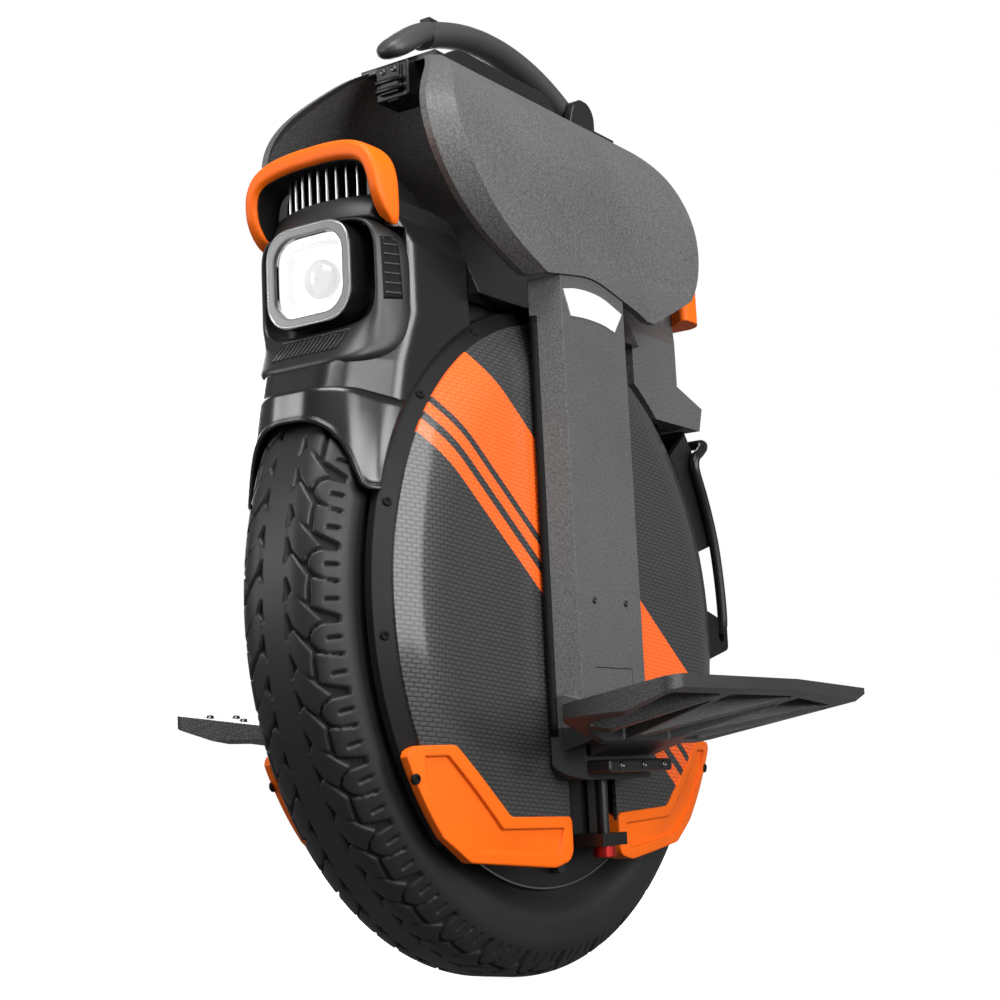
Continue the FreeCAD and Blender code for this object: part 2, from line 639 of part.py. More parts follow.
def stand_lug():
    """The ear on the edge ring that carries the stand's pivot."""
    return prism("stand_lug", "YZ_Plane", "plate_inner", "lug_outer", [
        ("stand_lug_root", "stand_z - 2 * stand_lug_radius"),
        ("stand_y + stand_lug_radius", "stand_z - stand_lug_radius", "stand_lug_radius / 2"),
        ("stand_y + stand_lug_radius", "stand_z + stand_lug_radius", "stand_lug_radius / 2"),
        ("stand_lug_root", "stand_z + 2 * stand_lug_radius"),
    ])


# Outer frame: legs, hood panels and the fixed handle


def seam(gap):
    """The seam between leg and hood from rear to front, raised by a gap."""
    return [("leg_span", f"seam_rear + {gap}"), ("0", f"seam_crown + {gap}", "seam_round"),
            ("-leg_span", f"seam_front + {gap}")]


def legs():
    half = [("leg_half", "leg_inner"), ("leg_flat", "leg_outer")]
    inside = [("leg_flat - leg_lip / 2", "leg_outer - leg_wall"), ("leg_half - leg_lip", "leg_inner")]
    loop = half + [(f"-({y})", x) for y, x in reversed(half)]
    loop += [(f"-({y})", x) for y, x in reversed(inside)] + inside
    section = [(x, y) for y, x in loop]
    channel = prism("leg_channel", "XY_Plane", "leg_bottom", "seam_crown + overrun", section)
    shelf = block("leg_shelf", ("shelf_inner", "leg_outer - leg_wall / 2"),
                  ("-carriage_half", "carriage_half"), ("shock_top", "shock_top + shelf_thick"))
    side = prism("leg_side", "YZ_Plane", "shelf_inner - overrun", "leg_outer + overrun", [
        ("-leg_half", "leg_bottom", "leg_round"), ("leg_half", "leg_bottom", "leg_round"), *seam("0")])
    lugs = []
    for way in (-1, 1):
        ends = sorted((f"{way} * lug_inner", f"{way} * (lug_inner + lug_thick)"), key=worth)
        lugs.append(prism(f"lug_{'front' if way < 0 else 'rear'}", "XZ_Plane", *ends, [
            ("lug_root", "hinge_z - 2 * lug_radius"),
            ("hinge_x + lug_radius", "hinge_z - lug_radius", "lug_radius / 2"),
            ("hinge_x + lug_radius", "hinge_z + lug_radius", "lug_radius / 2"),
            ("lug_root", "hinge_z + 2 * lug_radius")]))
    hinge = ("hinge_x", "hinge_z")
    hole = rod("hinge_hole", "y", hinge, "pin_radius", "-lug_inner - overrun", "lug_inner + overrun")
    body = fuse("leg_body", common("leg_trimmed", channel, side), shelf, *lugs)
    both_sides(cut("left_leg", body, hole), "leg")
    pin_end = "(lug_inner + lug_thick)"
    pair(rod("left_pedal_pin", "y", hinge, "pin_radius", f"-{pin_end}", pin_end), "pedal_pins")
    low, high = "seam_rear - badge_inset - badge_drop", "seam_rear - badge_inset"
    pair(prism("left_badge_plate", "YZ_Plane", "leg_outer", "leg_outer + badge_thick", [
        ("-badge_low", low), ("badge_low", low), ("leg_flat", high), ("-leg_flat", high)]), "badge_plates")


# Shares for each level of the hood: height, front reach, rear reach, half width, bevel depth.
HOOD_SHARES = [(0, 0.30, 0.60, 0.99, 0.80), (0.10, 0.56, 0.78, 1, 0.88), (0.24, 0.80, 0.93, 0.99, 0.95),
               (0.42, 0.95, 1, 0.97, 1), (0.58, 0.995, 1, 0.93, 0.97), (0.70, 0.955, 0.975, 0.86, 0.90),
               (0.82, 0.85, 0.935, 0.74, 0.75), (0.92, 0.735, 0.87, 0.58, 0.55), (1, 0.61, 0.76, 0.36, 0.30)]


def hood_level(height, front, rear, half, bevel):
    """One level of a hood panel: a wall with bevelled front and rear edges."""
    face, edge = f"{half} * hood_half", f"{half} * hood_half - {bevel} * hood_bevel"
    fore, aft = f"-{front} * hood_front", f"{rear} * hood_rear"
    turn_fore, turn_aft = f"{fore} + {bevel} * hood_bevel", f"{aft} - {bevel} * hood_bevel"
    corners = [(edge, fore), (face, turn_fore), (face, turn_aft), (edge, aft)]
    inside = [(f"{x} - hood_wall", y) for x, y in reversed(corners)]
    return f"hood_bottom + {height} * hood_height", corners + inside


def hoods():
    shell = lofted("hood_shell", [hood_level(*level) for level in HOOD_SHARES])
    below = prism("hood_below", "YZ_Plane", "-overrun", "hood_half + overrun", [
        ("-hood_front - overrun", "hood_bottom - overrun"),
        ("hood_rear + overrun", "hood_bottom - overrun"),
        ("hood_rear + overrun", "hood_tail + overrun"), ("hood_tail_reach", "hood_tail", "hood_bevel"),
        ("hood_heel", "hood_low", "hood_bevel / 2"), *seam("seam_gap"),
        ("-hood_front - overrun", "hood_chin")])
    both_sides(cut("left_hood", shell, below), "hood")


def carry_handle():
    top = "hood_top"
    front, rear = "-foot_front + foot_front_length", "foot_rear"
    ends = (("foot_front_pad", "-foot_front", front), ("foot_rear_pad", rear, "foot_rear + foot_rear_length"))
    feet = [block(label, ("-foot_span", "foot_span"), (low, high), (top, f"{top} + handle_foot"))
            for label, low, high in ends]
    arch = prism("carry_arch", "YZ_Plane", "-arch_half", "arch_half", [
        (f"{front} - arch_leg", top), (front, top), ("-arch_front", "arch_under", "arch_round"),
        ("arch_rear", "arch_under", "arch_round"), (rear, top), (f"{rear} + arch_leg", top),
        ("arch_rear + arch_leg", "arch_crown", "arch_round"),
        ("-arch_front - arch_leg", "arch_crown", "arch_round")])
    cheek_outer = "(cheek_inner + cheek_thick)"
    pillar = prism("handle_pillar", "YZ_Plane", f"-{cheek_outer}", cheek_outer, [
        ("pivot_y - 2 * cheek_radius", top), ("pivot_y + cheek_radius", top),
        ("pivot_y + cheek_radius", "pivot_z + cheek_radius", "cheek_radius"),
        ("pivot_y - cheek_radius", "pivot_z + cheek_radius", "cheek_radius")])
    slot = block("pillar_slot", ("-cheek_inner", "cheek_inner"),
                 ("pivot_y - 3 * cheek_radius", "foot_rear + foot_rear_length"),
                 (f"{top} + handle_foot", "pivot_z + overrun"))
    recess_top = "arch_under + switch_depth + switch_travel - switch_drop + slide_gap"
    recess = block("switch_recess", ("-switch_half - slide_gap", "switch_half + slide_gap"),
                   ("-switch_front - slide_gap", "-switch_front + switch_length + slide_gap"),
                   ("arch_under - overrun", recess_top))
    pin = rod("handle_pin", "x", ("pivot_y", "pivot_z"), "pivot_radius", f"-{cheek_outer}", cheek_outer)
    blank = fuse("handle_blank", pillar, arch, *feet)
    named(fuse("carry_handle", cut("handle_cheeks", blank, slot, recess), pin), "carry_handle")
    low = "arch_under - switch_drop"
    named(block("lift_switch", ("-switch_half", "switch_half"),
                ("-switch_front", "-switch_front + switch_length"), (low, f"{low} + switch_depth")),
          "lift_switch")
    latch = block("latch_body", ("-latch_half", "latch_half"),
                  ("-latch_front", "-latch_front + latch_length"), (f"{top} - latch_drop", top))
    notch = block("latch_notch", ("-latch_half / 2", "latch_half / 2"),
                  ("-latch_front - overrun", "-latch_front + latch_slot"),
                  (f"{top} - latch_drop + latch_slot", f"{top} - latch_slot"))
    named(cut("latch_block", latch, notch), "latch_block")


def oval_pipe(path, start, way):
    """A bar of the grip's oval section swept along a path in the middle plane."""
    ellipse = Part.Ellipse(Vector(0, 0, 0), worth("grip_half"), worth("grip_tall")).toShape()
    across = Vector(1, 0, 0)
    ellipse.Placement = FreeCAD.Placement(start, FreeCAD.Rotation(across, way.cross(across), way, "ZXY"))
    return path.makePipeShell([Part.Wire([ellipse])], True, True)


def shaped(label, shape):
    """A named sub-part from a finished shape."""
    thing = doc.addObject("Part::Feature", label)
    thing.Shape = shape
    named(thing, label)


def cross_pin(middle, radius, half):
    """A cylinder along X about a middle point."""
    return Part.makeCylinder(worth(radius), worth(f"2 * {half}"), middle - Vector(worth(half), 0, 0),
                             Vector(1, 0, 0))


def trolley_handle():
    """A curved bar hinged at the rear pillar, with a front cap and a release button."""
    eye = Vector(0, worth("pivot_y"), worth("pivot_z"))
    crown = Vector(0, worth("grip_crown_y"), worth("grip_crown_z"))
    front = Vector(0, -worth("grip_front_y"), worth("grip_front_z"))
    arc = Part.Arc(eye, crown, front)
    start_way = Vector(*arc.tangent(arc.FirstParameter)[0])
    end_way = Vector(*arc.tangent(arc.LastParameter)[0])
    bar = oval_pipe(Part.Wire(arc.toShape()), eye, start_way)
    hub = cross_pin(eye, "eye_radius", "eye_half")
    room = worth("eye_radius + cheek_thick")
    sides = []
    for x in (worth("eye_half"), -worth("eye_half + overrun")):
        corner = Vector(x, eye.y - room, eye.z - room)
        sides.append(Part.makeBox(worth("overrun"), 2 * room, 2 * room, corner))
    hole = cross_pin(eye, "(pivot_radius + fit_gap)", "overrun")
    bar = bar.fuse(hub).cut(Part.makeCompound(sides)).cut(hole).removeSplitter()
    half, length, gap = worth("release_half"), worth("release_length"), worth("release_gap")
    rear = -worth("release_y") - length / 2
    surface = top_of(bar, -worth("release_y"))
    floor = surface - worth("release_depth")
    well = Part.makeBox(2 * (half + gap), length + 2 * gap, worth("overrun"),
                        Vector(-half - gap, rear - gap, floor))
    shaped("trolley_handle", bar.cut(well))
    low = floor + worth("release_travel + release_gap")
    high = surface + worth("release_rise")
    shaped("release_button", Part.makeBox(2 * half, length, high - low, Vector(-half, rear, low)))
    straight = Part.LineSegment(front, front + end_way * worth("cap_length"))
    shaped("handle_cap", oval_pipe(Part.Wire(straight.toShape()), front, end_way))


def top_of(shape, y):
    """The height of a shape's upper surface in the middle plane at a place along Y."""
    line = Part.makeLine(Vector(0, y, 0), Vector(0, y, worth("grip_crown_z + overrun")))
    return shape.common(line).BoundBox.ZMax


# Pedals


def pocket_place(row, step):
    """A place along a row of pockets, in steps from its front end to its rear end."""
    return f"{row[1]} + {step} * ({row[2]} - ({row[1]})) / {POCKET_COUNT}"


def pedals():
    """Cast plates that fold up about the pins, ribbed below in triangles."""
    wedge = [("knuckle_inner", "keel_inner_z"), ("pedal_outer", "keel_outer_z"),
             ("pedal_outer", "deck_outer_z"), ("pedal_inner", "deck_inner_z"),
             ("knuckle_inner", "deck_inner_z")]
    below = [("knuckle_inner", "keel_inner_z - overrun"), ("pedal_outer", "keel_inner_z - overrun"),
             ("pedal_outer", "deck_outer_z - deck_skin"), ("pedal_inner", "deck_inner_z - deck_skin"),
             ("knuckle_inner", "deck_inner_z - deck_skin")]
    plan = [("knuckle_inner", "-knuckle_half"), ("pedal_inner", "-knuckle_half"),
            ("pedal_inner", "-pedal_front_inner", "pedal_round"),
            ("pedal_outer", "-pedal_front", "pedal_round"), ("pedal_outer", "pedal_heel", "pedal_round"),
            ("pedal_rear_x + pedal_tip / 2", "pedal_rear", "pedal_tip / 4"),
            ("pedal_rear_x - pedal_tip / 2", "pedal_rear - pedal_tip / 2", "pedal_tip / 4"),
            ("pedal_inner", "pedal_rear_inner", "pedal_round"),
            ("pedal_inner", "knuckle_half"), ("knuckle_inner", "knuckle_half")]
    ends = ("-pedal_front - overrun", "pedal_rear + overrun")
    upright = ("keel_inner_z - overrun", "deck_outer_z + overrun")
    belly = prism("pedal_belly", "YZ_Plane", "knuckle_inner", "pedal_outer", [
        ("-pedal_front", upright[1]), ("-pedal_front", "deck_inner_z - pedal_edge"),
        ("-knuckle_half", "keel_inner_z", "pedal_round"), ("knuckle_half", "keel_inner_z", "pedal_round"),
        ("pedal_rear", "deck_outer_z - pedal_edge"), ("pedal_rear", upright[1])])
    plate = common("pedal_plate", prism("pedal_wedge", "XZ_Plane", *ends, wedge),
                   prism("pedal_plan", "XY_Plane", *upright, plan))
    solid = common("pedal_solid", plate, belly)
    near, far = ("(pedal_inner + pedal_rim)", "-pedal_front_inner", "pedal_rear_inner"), (
        "(pedal_outer - pedal_rim)", "-pedal_front", "pedal_rear")
    triangles = []
    for i in range(POCKET_COUNT):
        base, tip, lean = (near, far, "-pedal_rib") if i % 2 else (far, near, "+ pedal_rib")
        triangles.append([(base[0], pocket_place(base, i - 0.5) + " + pedal_rib", "pedal_rib / 2"),
                          (base[0], pocket_place(base, i + 1.5) + " - pedal_rib", "pedal_rib / 2"),
                          (f"{tip[0]} {lean}", pocket_place(tip, i + 0.5), "pedal_rib / 2")])
    inner_plan = [(near[0], "-pedal_front_inner + pedal_rim"), (far[0], "-pedal_front + pedal_rim"),
                  (far[0], "pedal_heel"), ("pedal_rear_x", "pedal_rear - 4 * pedal_rim"),
                  (near[0], "pedal_rear_inner - pedal_rim")]
    webs = common("pedal_webs", prism("pocket_sides", "XY_Plane", *upright, *triangles),
                  prism("pocket_plan", "XY_Plane", *upright, inner_plan))
    pockets = common("pedal_pockets", webs, prism("pocket_floor", "XZ_Plane", *ends, below))
    bore = rod("pedal_bore", "y", ("hinge_x", "hinge_z"), "pin_radius + fit_gap",
               "-knuckle_half - overrun", "knuckle_half + overrun")
    both_sides(cut("left_pedal", solid, pockets, bore), "pedal")


# Inner body over the wheel


def wheel_space():
    """Tools that clear the tyre and the side rings."""
    shoulder = "seat_radius + shoulder_share * (tyre_radius - seat_radius) + tyre_gap / 2"
    tyre_tool = turned("tyre_space", mirrored_outline([
        ("arch_side", "0"), ("arch_side", shoulder),
        ("crown_share * tyre_half + tyre_gap", "tyre_radius + tyre_gap")]))
    ring_tool = rod("ring_space", "x", ("0", "tyre_radius"), "ring_radius + ring_gap", "-hood_half",
                    "hood_half")
    return tyre_tool, ring_tool


def top_deck(spaces):
    """The deck over the wheel with its power button and its capped charge port."""
    front_view = [("-deck_low_half", "deck_low"), ("deck_low_half", "deck_low"),
                  ("deck_top_half", "deck_top", "deck_drop / 4"),
                  ("-deck_top_half", "deck_top", "deck_drop / 4")]
    side_view = [("-deck_nose", "deck_low"), ("deck_tail", "deck_low"),
                 ("deck_tail", "deck_top - deck_drop"), ("deck_rear", "deck_top"),
                 ("-deck_front", "deck_top"), ("-deck_nose", "deck_top - deck_drop")]
    bridge = common("deck_bridge",
                    prism("deck_front_view", "XZ_Plane", "-deck_nose", "deck_tail", front_view),
                    prism("deck_side_view", "YZ_Plane", "-deck_low_half", "deck_low_half", side_view))
    button, port = ("0", "button_y"), ("0", "port_y")
    above = "deck_top + overrun"
    button_low = "deck_top + button_rise - button_depth"
    well = rod("button_well", "z", button, "button_radius + button_gap",
               f"{button_low} - button_travel - button_gap", above)
    socket = rod("port_socket", "z", port, "port_radius", "deck_top - port_depth", above)
    named(cut("top_deck", bridge, *spaces, well, socket), "top_deck")
    named(rod("power_button", "z", button, "button_radius", button_low, "deck_top + button_rise"),
          "power_button")
    barrel = rod("port_barrel", "z", port, "port_radius", "deck_top - port_depth", "deck_top")
    bore = rod("port_bore_tool", "z", port, "port_bore", "deck_top - port_depth / 2", above)
    named(cut("charge_port", barrel, bore), "charge_port")
    low, high = "deck_top + cap_gap", "deck_top + cap_gap + cap_thick"
    lid = rod("cap_lid", "z", port, "cap_radius", low, high)
    ear = block("cap_arm", ("-cap_ear", "cap_ear"), ("port_y", "port_y + cap_hinge"), (low, high))
    named(fuse("charge_cap", lid, ear), "charge_cap")


# Shares for each level of the nose: height, half width, front reach, flat front share of the half width
# and chamfer depth.
NOSE_SHARES = [(0, 0.96, 1, 0.56, 1), (0.15, 0.97, 0.965, 0.56, 0.95), (0.34, 1, 0.90, 0.56, 0.9),
               (0.60, 0.98, 0.86, 0.60, 0.7), (0.69, 0.90, 0.85, 0.70, 0.4), (0.79, 0.69, 0.84, 0.85, 0.22),
               (0.88, 0.59, 0.82, 0.9, 0.15), (1, 0.50, 0.765, 0.9, 0.15)]
# The fender goes on below the nose: height, half width, front reach, flat share, chamfer depth.
FENDER_SHARES = [(0, 0.98, 0.95, 0.80, 0.2), (0.45, 0.97, 0.985, 0.68, 0.6), (1, 0.96, 1, 0.56, 1)]

# The room inside the bumper's hoop, where the grille and its trim sit.
HOOP_HALF = "(front_bumper_half - tip_inset - front_bumper_band)"
GRILLE_HALF = f"({HOOP_HALF} - grille_gap)"
SINK_TOP = "(sink_bottom + sink_height)"


def nose_level(half, front, flat, depth):
    """One level of the nose or the fender, chamfered from its flat front to its sides."""
    side, fore = f"{half} * nose_half", f"-{front} * nose_front"
    turn = f"{depth} * nose_round"
    return mirrored_outline([(side, "-nose_back"), (side, f"{fore} + {depth} * nose_chamfer", turn),
                             (f"{flat} * {side}", fore, turn)])


def nose(spaces):
    shell = lofted("nose_shell", [(f"nose_bottom + {height} * nose_height", nose_level(*level))
                                  for height, *level in NOSE_SHARES], ruled=True)
    above = "nose_bottom + nose_height + overrun"
    slope = prism("nose_slope", "YZ_Plane", "-nose_half - overrun", "nose_half + overrun", [
        ("-front_bumper_back", above), ("-front_bumper_back", "front_bumper_top - deck_drop / 4"),
        ("-latch_front - latch_slot", "deck_top - deck_drop / 2"),
        ("-nose_back + overrun", "deck_top - deck_drop"), ("-nose_back + overrun", above)])
    sink_back = "-sink_front + fin_depth + sink_base"
    sink = block("sink_space", (f"-{HOOP_HALF}", HOOP_HALF), ("-sink_front - overrun", sink_back),
                 ("sink_bottom", SINK_TOP))
    bay_half = f"({GRILLE_HALF} - board_margin)"
    bay = block("board_bay", (f"-{bay_half}", bay_half), ("-sink_front", f"{sink_back} + sink_pocket"),
                ("sink_bottom + board_margin", f"{SINK_TOP} - board_margin"))
    trim = block("trim_space", (f"-{HOOP_HALF}", HOOP_HALF),
                 ("-sink_front - overrun", "-sink_front + trim_depth"),
                 ("light_bottom + light_height", "sink_bottom"))
    named(cut("front_cowl", shell, slope, *spaces, sink, bay, trim, front_bumper(),
              light_pod(spaces)),
          "front_cowl")
    grille()
    headlight()
    fender(spaces)


def light_pod(spaces):
    """The dark surround of the headlight with its lip below; returns the space it takes in the cowl."""
    back = "-pod_back"
    front_view = mirrored_outline([
        ("pod_lip_half", "pod_bottom", "light_round"), ("pod_half", "light_bottom", "light_round"),
        ("pod_half", "front_bumper_bottom"), (HOOP_HALF, "front_bumper_bottom"),
        (HOOP_HALF, "light_bottom + light_height")])
    top = "light_bottom + light_height + overrun"
    side_view = [(back, "pod_bottom"), ("-pod_lip + pod_edge / 2", "pod_bottom"),
                 ("-pod_lip", "pod_bottom + pod_edge"), ("-pod_front", "light_bottom"),
                 ("-pod_front", top), (back, top)]
    plan = mirrored_outline([("pod_half", back), ("pod_half", f"{back} - pod_edge"),
                             ("light_half + light_wall", "-pod_front"),
                             ("light_half", "-pod_lip")])
    looks = common("pod_looks", prism("pod_front_view", "XZ_Plane", "-pod_lip", back, front_view),
                   prism("pod_side_view", "YZ_Plane", "-pod_half", "pod_half", side_view))
    whole = common("pod_whole", looks, prism("pod_plan", "XY_Plane", "pod_bottom", top, plan))
    pocket = prism("light_pocket", "XZ_Plane", "-light_front - overrun", "-light_front + light_depth",
                   light_outline("0"))
    named(cut("light_pod", whole, pocket, *spaces), "light_pod")
    room = prism("pod_space", "XZ_Plane", "-pod_lip - overrun", back, front_view)
    return fuse("pod_and_light_space", room, pocket)


def front_bumper():
    """The orange hoop over the grille, leaning back at its top; returns the space it takes in the cowl."""
    inner_top = "front_bumper_top - front_bumper_band"
    half = [(HOOP_HALF, inner_top, "front_bumper_round / 2"),
            (HOOP_HALF, "front_bumper_bottom", "tip_round"),
            ("front_bumper_half - tip_inset", "front_bumper_bottom", "tip_round"),
            ("front_bumper_half", "front_bumper_bottom + front_bumper_band", "4 * tip_round"),
            ("front_bumper_half - tip_inset", "front_bumper_top", "front_bumper_round")]
    hoop = mirrored_outline(half)
    front, back = "-front_bumper_front", "-front_bumper_back"
    front_view = prism("bumper_front_view", "XZ_Plane", front, back, hoop)
    side_view = prism("bumper_side_view", "YZ_Plane", "-front_bumper_half", "front_bumper_half", [
        (f"{back} - front_bumper_lean", "front_bumper_bottom"), (back, "front_bumper_bottom"),
        (back, "front_bumper_top"), (f"{back} - front_bumper_lean / 3", "front_bumper_top"),
        (front, "front_bumper_top - 2 * front_bumper_band", "4 * tip_round")])
    named(common("front_bumper", front_view, side_view), "front_bumper")
    return prism("bumper_space", "XZ_Plane", f"{front} - overrun", back, hoop)


def grille():
    """A finned heat sink behind the bumper, its control board and the trim bar below it."""
    width, tall = (f"-{GRILLE_HALF}", GRILLE_HALF), ("sink_bottom", SINK_TOP)
    base_front = "-sink_front + fin_depth"
    back = f"{base_front} + sink_base"
    base = block("sink_plate", width, (base_front, back), tall)
    fins = []
    for i in range(FIN_COUNT):
        middle = f"(2 * {i} / {FIN_COUNT - 1} - 1) * ({GRILLE_HALF} - fin_thick)"
        fins.append(block(f"sink_fin_{i}", (f"{middle} - fin_thick / 2", f"{middle} + fin_thick / 2"),
                          ("-sink_front", base_front), tall))
    named(fuse("heat_sink", base, *fins), "heat_sink")
    board_half = f"({GRILLE_HALF} - 2 * board_margin)"
    named(block("controller_board", (f"-{board_half}", board_half), (back, f"{back} + board_thick"),
                ("sink_bottom + 2 * board_margin", f"{SINK_TOP} - 2 * board_margin")), "controller_board")
    trim_half = f"({HOOP_HALF} - seam_gap)"
    named(block("grille_trim", (f"-{trim_half}", trim_half),
                ("-sink_front - lens_thick", "-sink_front + trim_depth"),
                ("light_bottom + light_height", "sink_bottom")), "grille_trim")


def light_outline(inset):
    """The headlight's rounded outline, drawn in by an inset."""
    side, low = f"(light_half - ({inset}))", f"light_bottom + {inset}"
    high, turn = f"light_bottom + light_height - ({inset})", f"light_round - ({inset}) / 2"
    return [(f"-{side}", low, turn), (side, low, turn), (side, high, turn), (f"-{side}", high, turn)]


def headlight():
    """A rounded housing with a lens, a daylight ring and a bowl with its projector."""
    front, back = "-light_front", "-light_front + light_depth"
    floor = f"{back} - light_wall"
    wall = light_outline("light_wall")
    shell = prism("light_shell", "XZ_Plane", front, back, light_outline("0"))
    room = prism("light_room", "XZ_Plane", f"{front} - overrun", floor, wall)
    named(cut("headlight_housing", shell, room), "headlight_housing")
    glass_back = f"{front} + lens_inset + lens_thick"
    named(prism("headlight_lens", "XZ_Plane", f"{front} + lens_inset", glass_back, wall), "headlight_lens")
    ring_back = f"{glass_back} + ring_thick"
    named(prism("daylight_ring", "XZ_Plane", glass_back, ring_back, wall,
                light_outline("light_wall + ring_band")), "daylight_ring")
    slab = prism("bowl_slab", "XZ_Plane", ring_back, floor, wall)
    middle = ("0", "light_bottom + light_height / 2")
    bowl = rod("bowl_room", "y", middle, "projector_radius + ring_band", f"{ring_back} - overrun",
               f"{floor} - bowl_wall")
    barrel = rod("projector", "y", middle, "projector_radius", ring_back, floor)
    named(fuse("headlight_reflector", cut("bowl", slab, bowl), barrel), "headlight_reflector")


def fender(spaces):
    """The arch below the nose, open over the tyre."""
    rise = "(nose_bottom - seam_gap - fender_low)"
    shell = lofted("fender_shell", [(f"fender_low + {height} * {rise}", nose_level(*level))
                                    for height, *level in FENDER_SHARES], ruled=True)
    mouth = prism("fender_mouth", "XZ_Plane", "-nose_front - 2 * overrun", "0", [
        ("-fender_arch_half", "fender_low - overrun"), ("fender_arch_half", "fender_low - overrun"),
        ("fender_arch_half", "fender_arch_z", "fender_arch_round"),
        ("-fender_arch_half", "fender_arch_z", "fender_arch_round")])
    named(cut("front_fender", shell, *spaces, mouth), "front_fender")


# Tail


def tail(spaces):
    top, shelf = "tail_top + tail_round", "tail_reach - tail_round"
    side_view = prism("tail_side_view", "YZ_Plane", "-tail_half", "tail_half", [
        ("tail_front", "tail_bottom"), (shelf, "tail_bottom"), ("tail_reach", "tail_lip"),
        ("tail_light_y", "tail_light_low"), ("tail_light_y", "tail_light_high"),
        ("rear_bumper_y", "rear_bumper_low"),
        ("rear_bumper_y", "rear_bumper_low + rear_bumper_tall / 2"), ("tail_front", top)])
    front_view = prism("tail_front_view", "XZ_Plane", "tail_front", "tail_reach", mirrored_outline([
        ("tail_half", "tail_bottom"), ("tail_half", "tail_light_high"),
        ("tail_neck_half", "rear_bumper_low"), ("tail_neck_half", f"{top} + overrun")]))
    named(cut("rear_cowl", common("tail_block", side_view, front_view), *spaces), "rear_cowl")
    named(block("tail_light", ("-tail_light_half", "tail_light_half"),
                ("tail_light_y", "tail_light_y + tail_light_depth"),
                ("tail_light_low + tail_round", "tail_light_high - tail_round")), "tail_light")
    wrap, corner = "rear_bumper_y - rear_bumper_wrap", "rear_bumper_round / 2"
    named(prism("rear_bumper", "XY_Plane", "rear_bumper_low", "rear_bumper_low + rear_bumper_tall",
                mirrored_outline([("rear_bumper_half - rear_bumper_wrap", "rear_bumper_y", corner),
                                  ("rear_bumper_half", wrap, corner),
                                  ("rear_bumper_half", "rear_bumper_y + rear_bumper_thick",
                                   "rear_bumper_wrap")])), "rear_bumper")
    mudguard()


def mudguard():
    """A channel section behind the tyre: a crown and two skirts."""
    skirt, inner = "ring_radius + ring_gap", "tyre_radius + tyre_gap"
    outside = [("mudguard_half", skirt), ("mudguard_half", f"{inner} + mudguard_thick", "mudguard_thick * 2")]
    inside = [("mudguard_half - mudguard_thick", inner), ("mudguard_half - mudguard_thick", skirt)]
    section = mirrored_outline(outside) + [(f"-({x})", r) for x, r in inside[::-1]] + inside
    rise = worth("tail_bottom - seam_gap - tyre_radius") / worth(f"{inner} + mudguard_thick")
    end = -math.degrees(math.acos(rise)) - worth("mudguard_sweep")
    named(turned("rear_mudguard", section, end, "mudguard_sweep"), "rear_mudguard")


def rounded_path(points, radius):
    """Edges of straight runs through the points, joined by tangent arcs."""
    edges, at = [], points[0]
    for before, corner, after in zip(points, points[1:], points[2:]):
        way_in, way_out = (corner - before).normalize(), (after - corner).normalize()
        half_turn = way_in.getAngle(way_out) / 2
        reach = radius * math.tan(half_turn)
        enter, leave = corner - way_in * reach, corner + way_out * reach
        inward = (way_out - way_in).normalize()
        middle = corner + inward * (radius / math.cos(half_turn) - radius)
        edges += [Part.LineSegment(at, enter).toShape(), Part.Arc(enter, middle, leave).toShape()]
        at = leave
    return edges + [Part.LineSegment(at, points[-1]).toShape()]


def kickstand():
    """A bent rod: two pins in the ears, two arms and a bar behind the tyre."""
    half, pivot = worth("stand_half"), (worth("stand_y"), worth("stand_z"))
    knee, bar = (worth("stand_top_y"), worth("stand_top_z")), (worth("stand_bar_y"), worth("stand_bar_z"))
    side = [Vector(worth("plate_inner"), *pivot), Vector(half, *pivot), Vector(half, *knee),
            Vector(half, *bar)]
    far_side = [Vector(-p.x, p.y, p.z) for p in reversed(side)]
    path = Part.Wire(rounded_path(side + far_side, worth("stand_bend")))
    ring = Part.Wire(Part.Circle(side[0], Vector(1, 0, 0), worth("stand_rod")).toShape())
    shaped("kickstand", path.makePipeShell([ring], True, True))


# Assembly

tyre()
rim()
motor()
axle()
stator()
axle_plate()
rail()
carriages()
shocks()
pair(group("left_packs", *discs()), "battery_packs")
legs()
hoods()
carry_handle()
trolley_handle()
pedals()
clearances = wheel_space()
top_deck(clearances)
nose(clearances)
tail(clearances)
kickstand()
doc.recompute()

for thing in doc.Objects:
    failed = [state for state in thing.State if state in ("Invalid", "Error")]
    if failed:
        raise RuntimeError(f"{thing.Label} failed: {failed}")
for node in nodes:
    if node.Shape.isNull() or not node.Shape.isValid():
        raise RuntimeError(f"{node.Label} has no valid shape")

os.makedirs("parts", exist_ok=True)
for node in nodes:
    node.Shape.exportStep(f"parts/{node.Label}.step")
print(len(nodes), "sub-parts,", sum(len(node.Shape.Solids) for node in nodes), "solids")
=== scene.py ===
import json
import math

import bmesh
import bpy
import numpy as np
from mathutils import Matrix, Vector
from mathutils.bvhtree import BVHTree


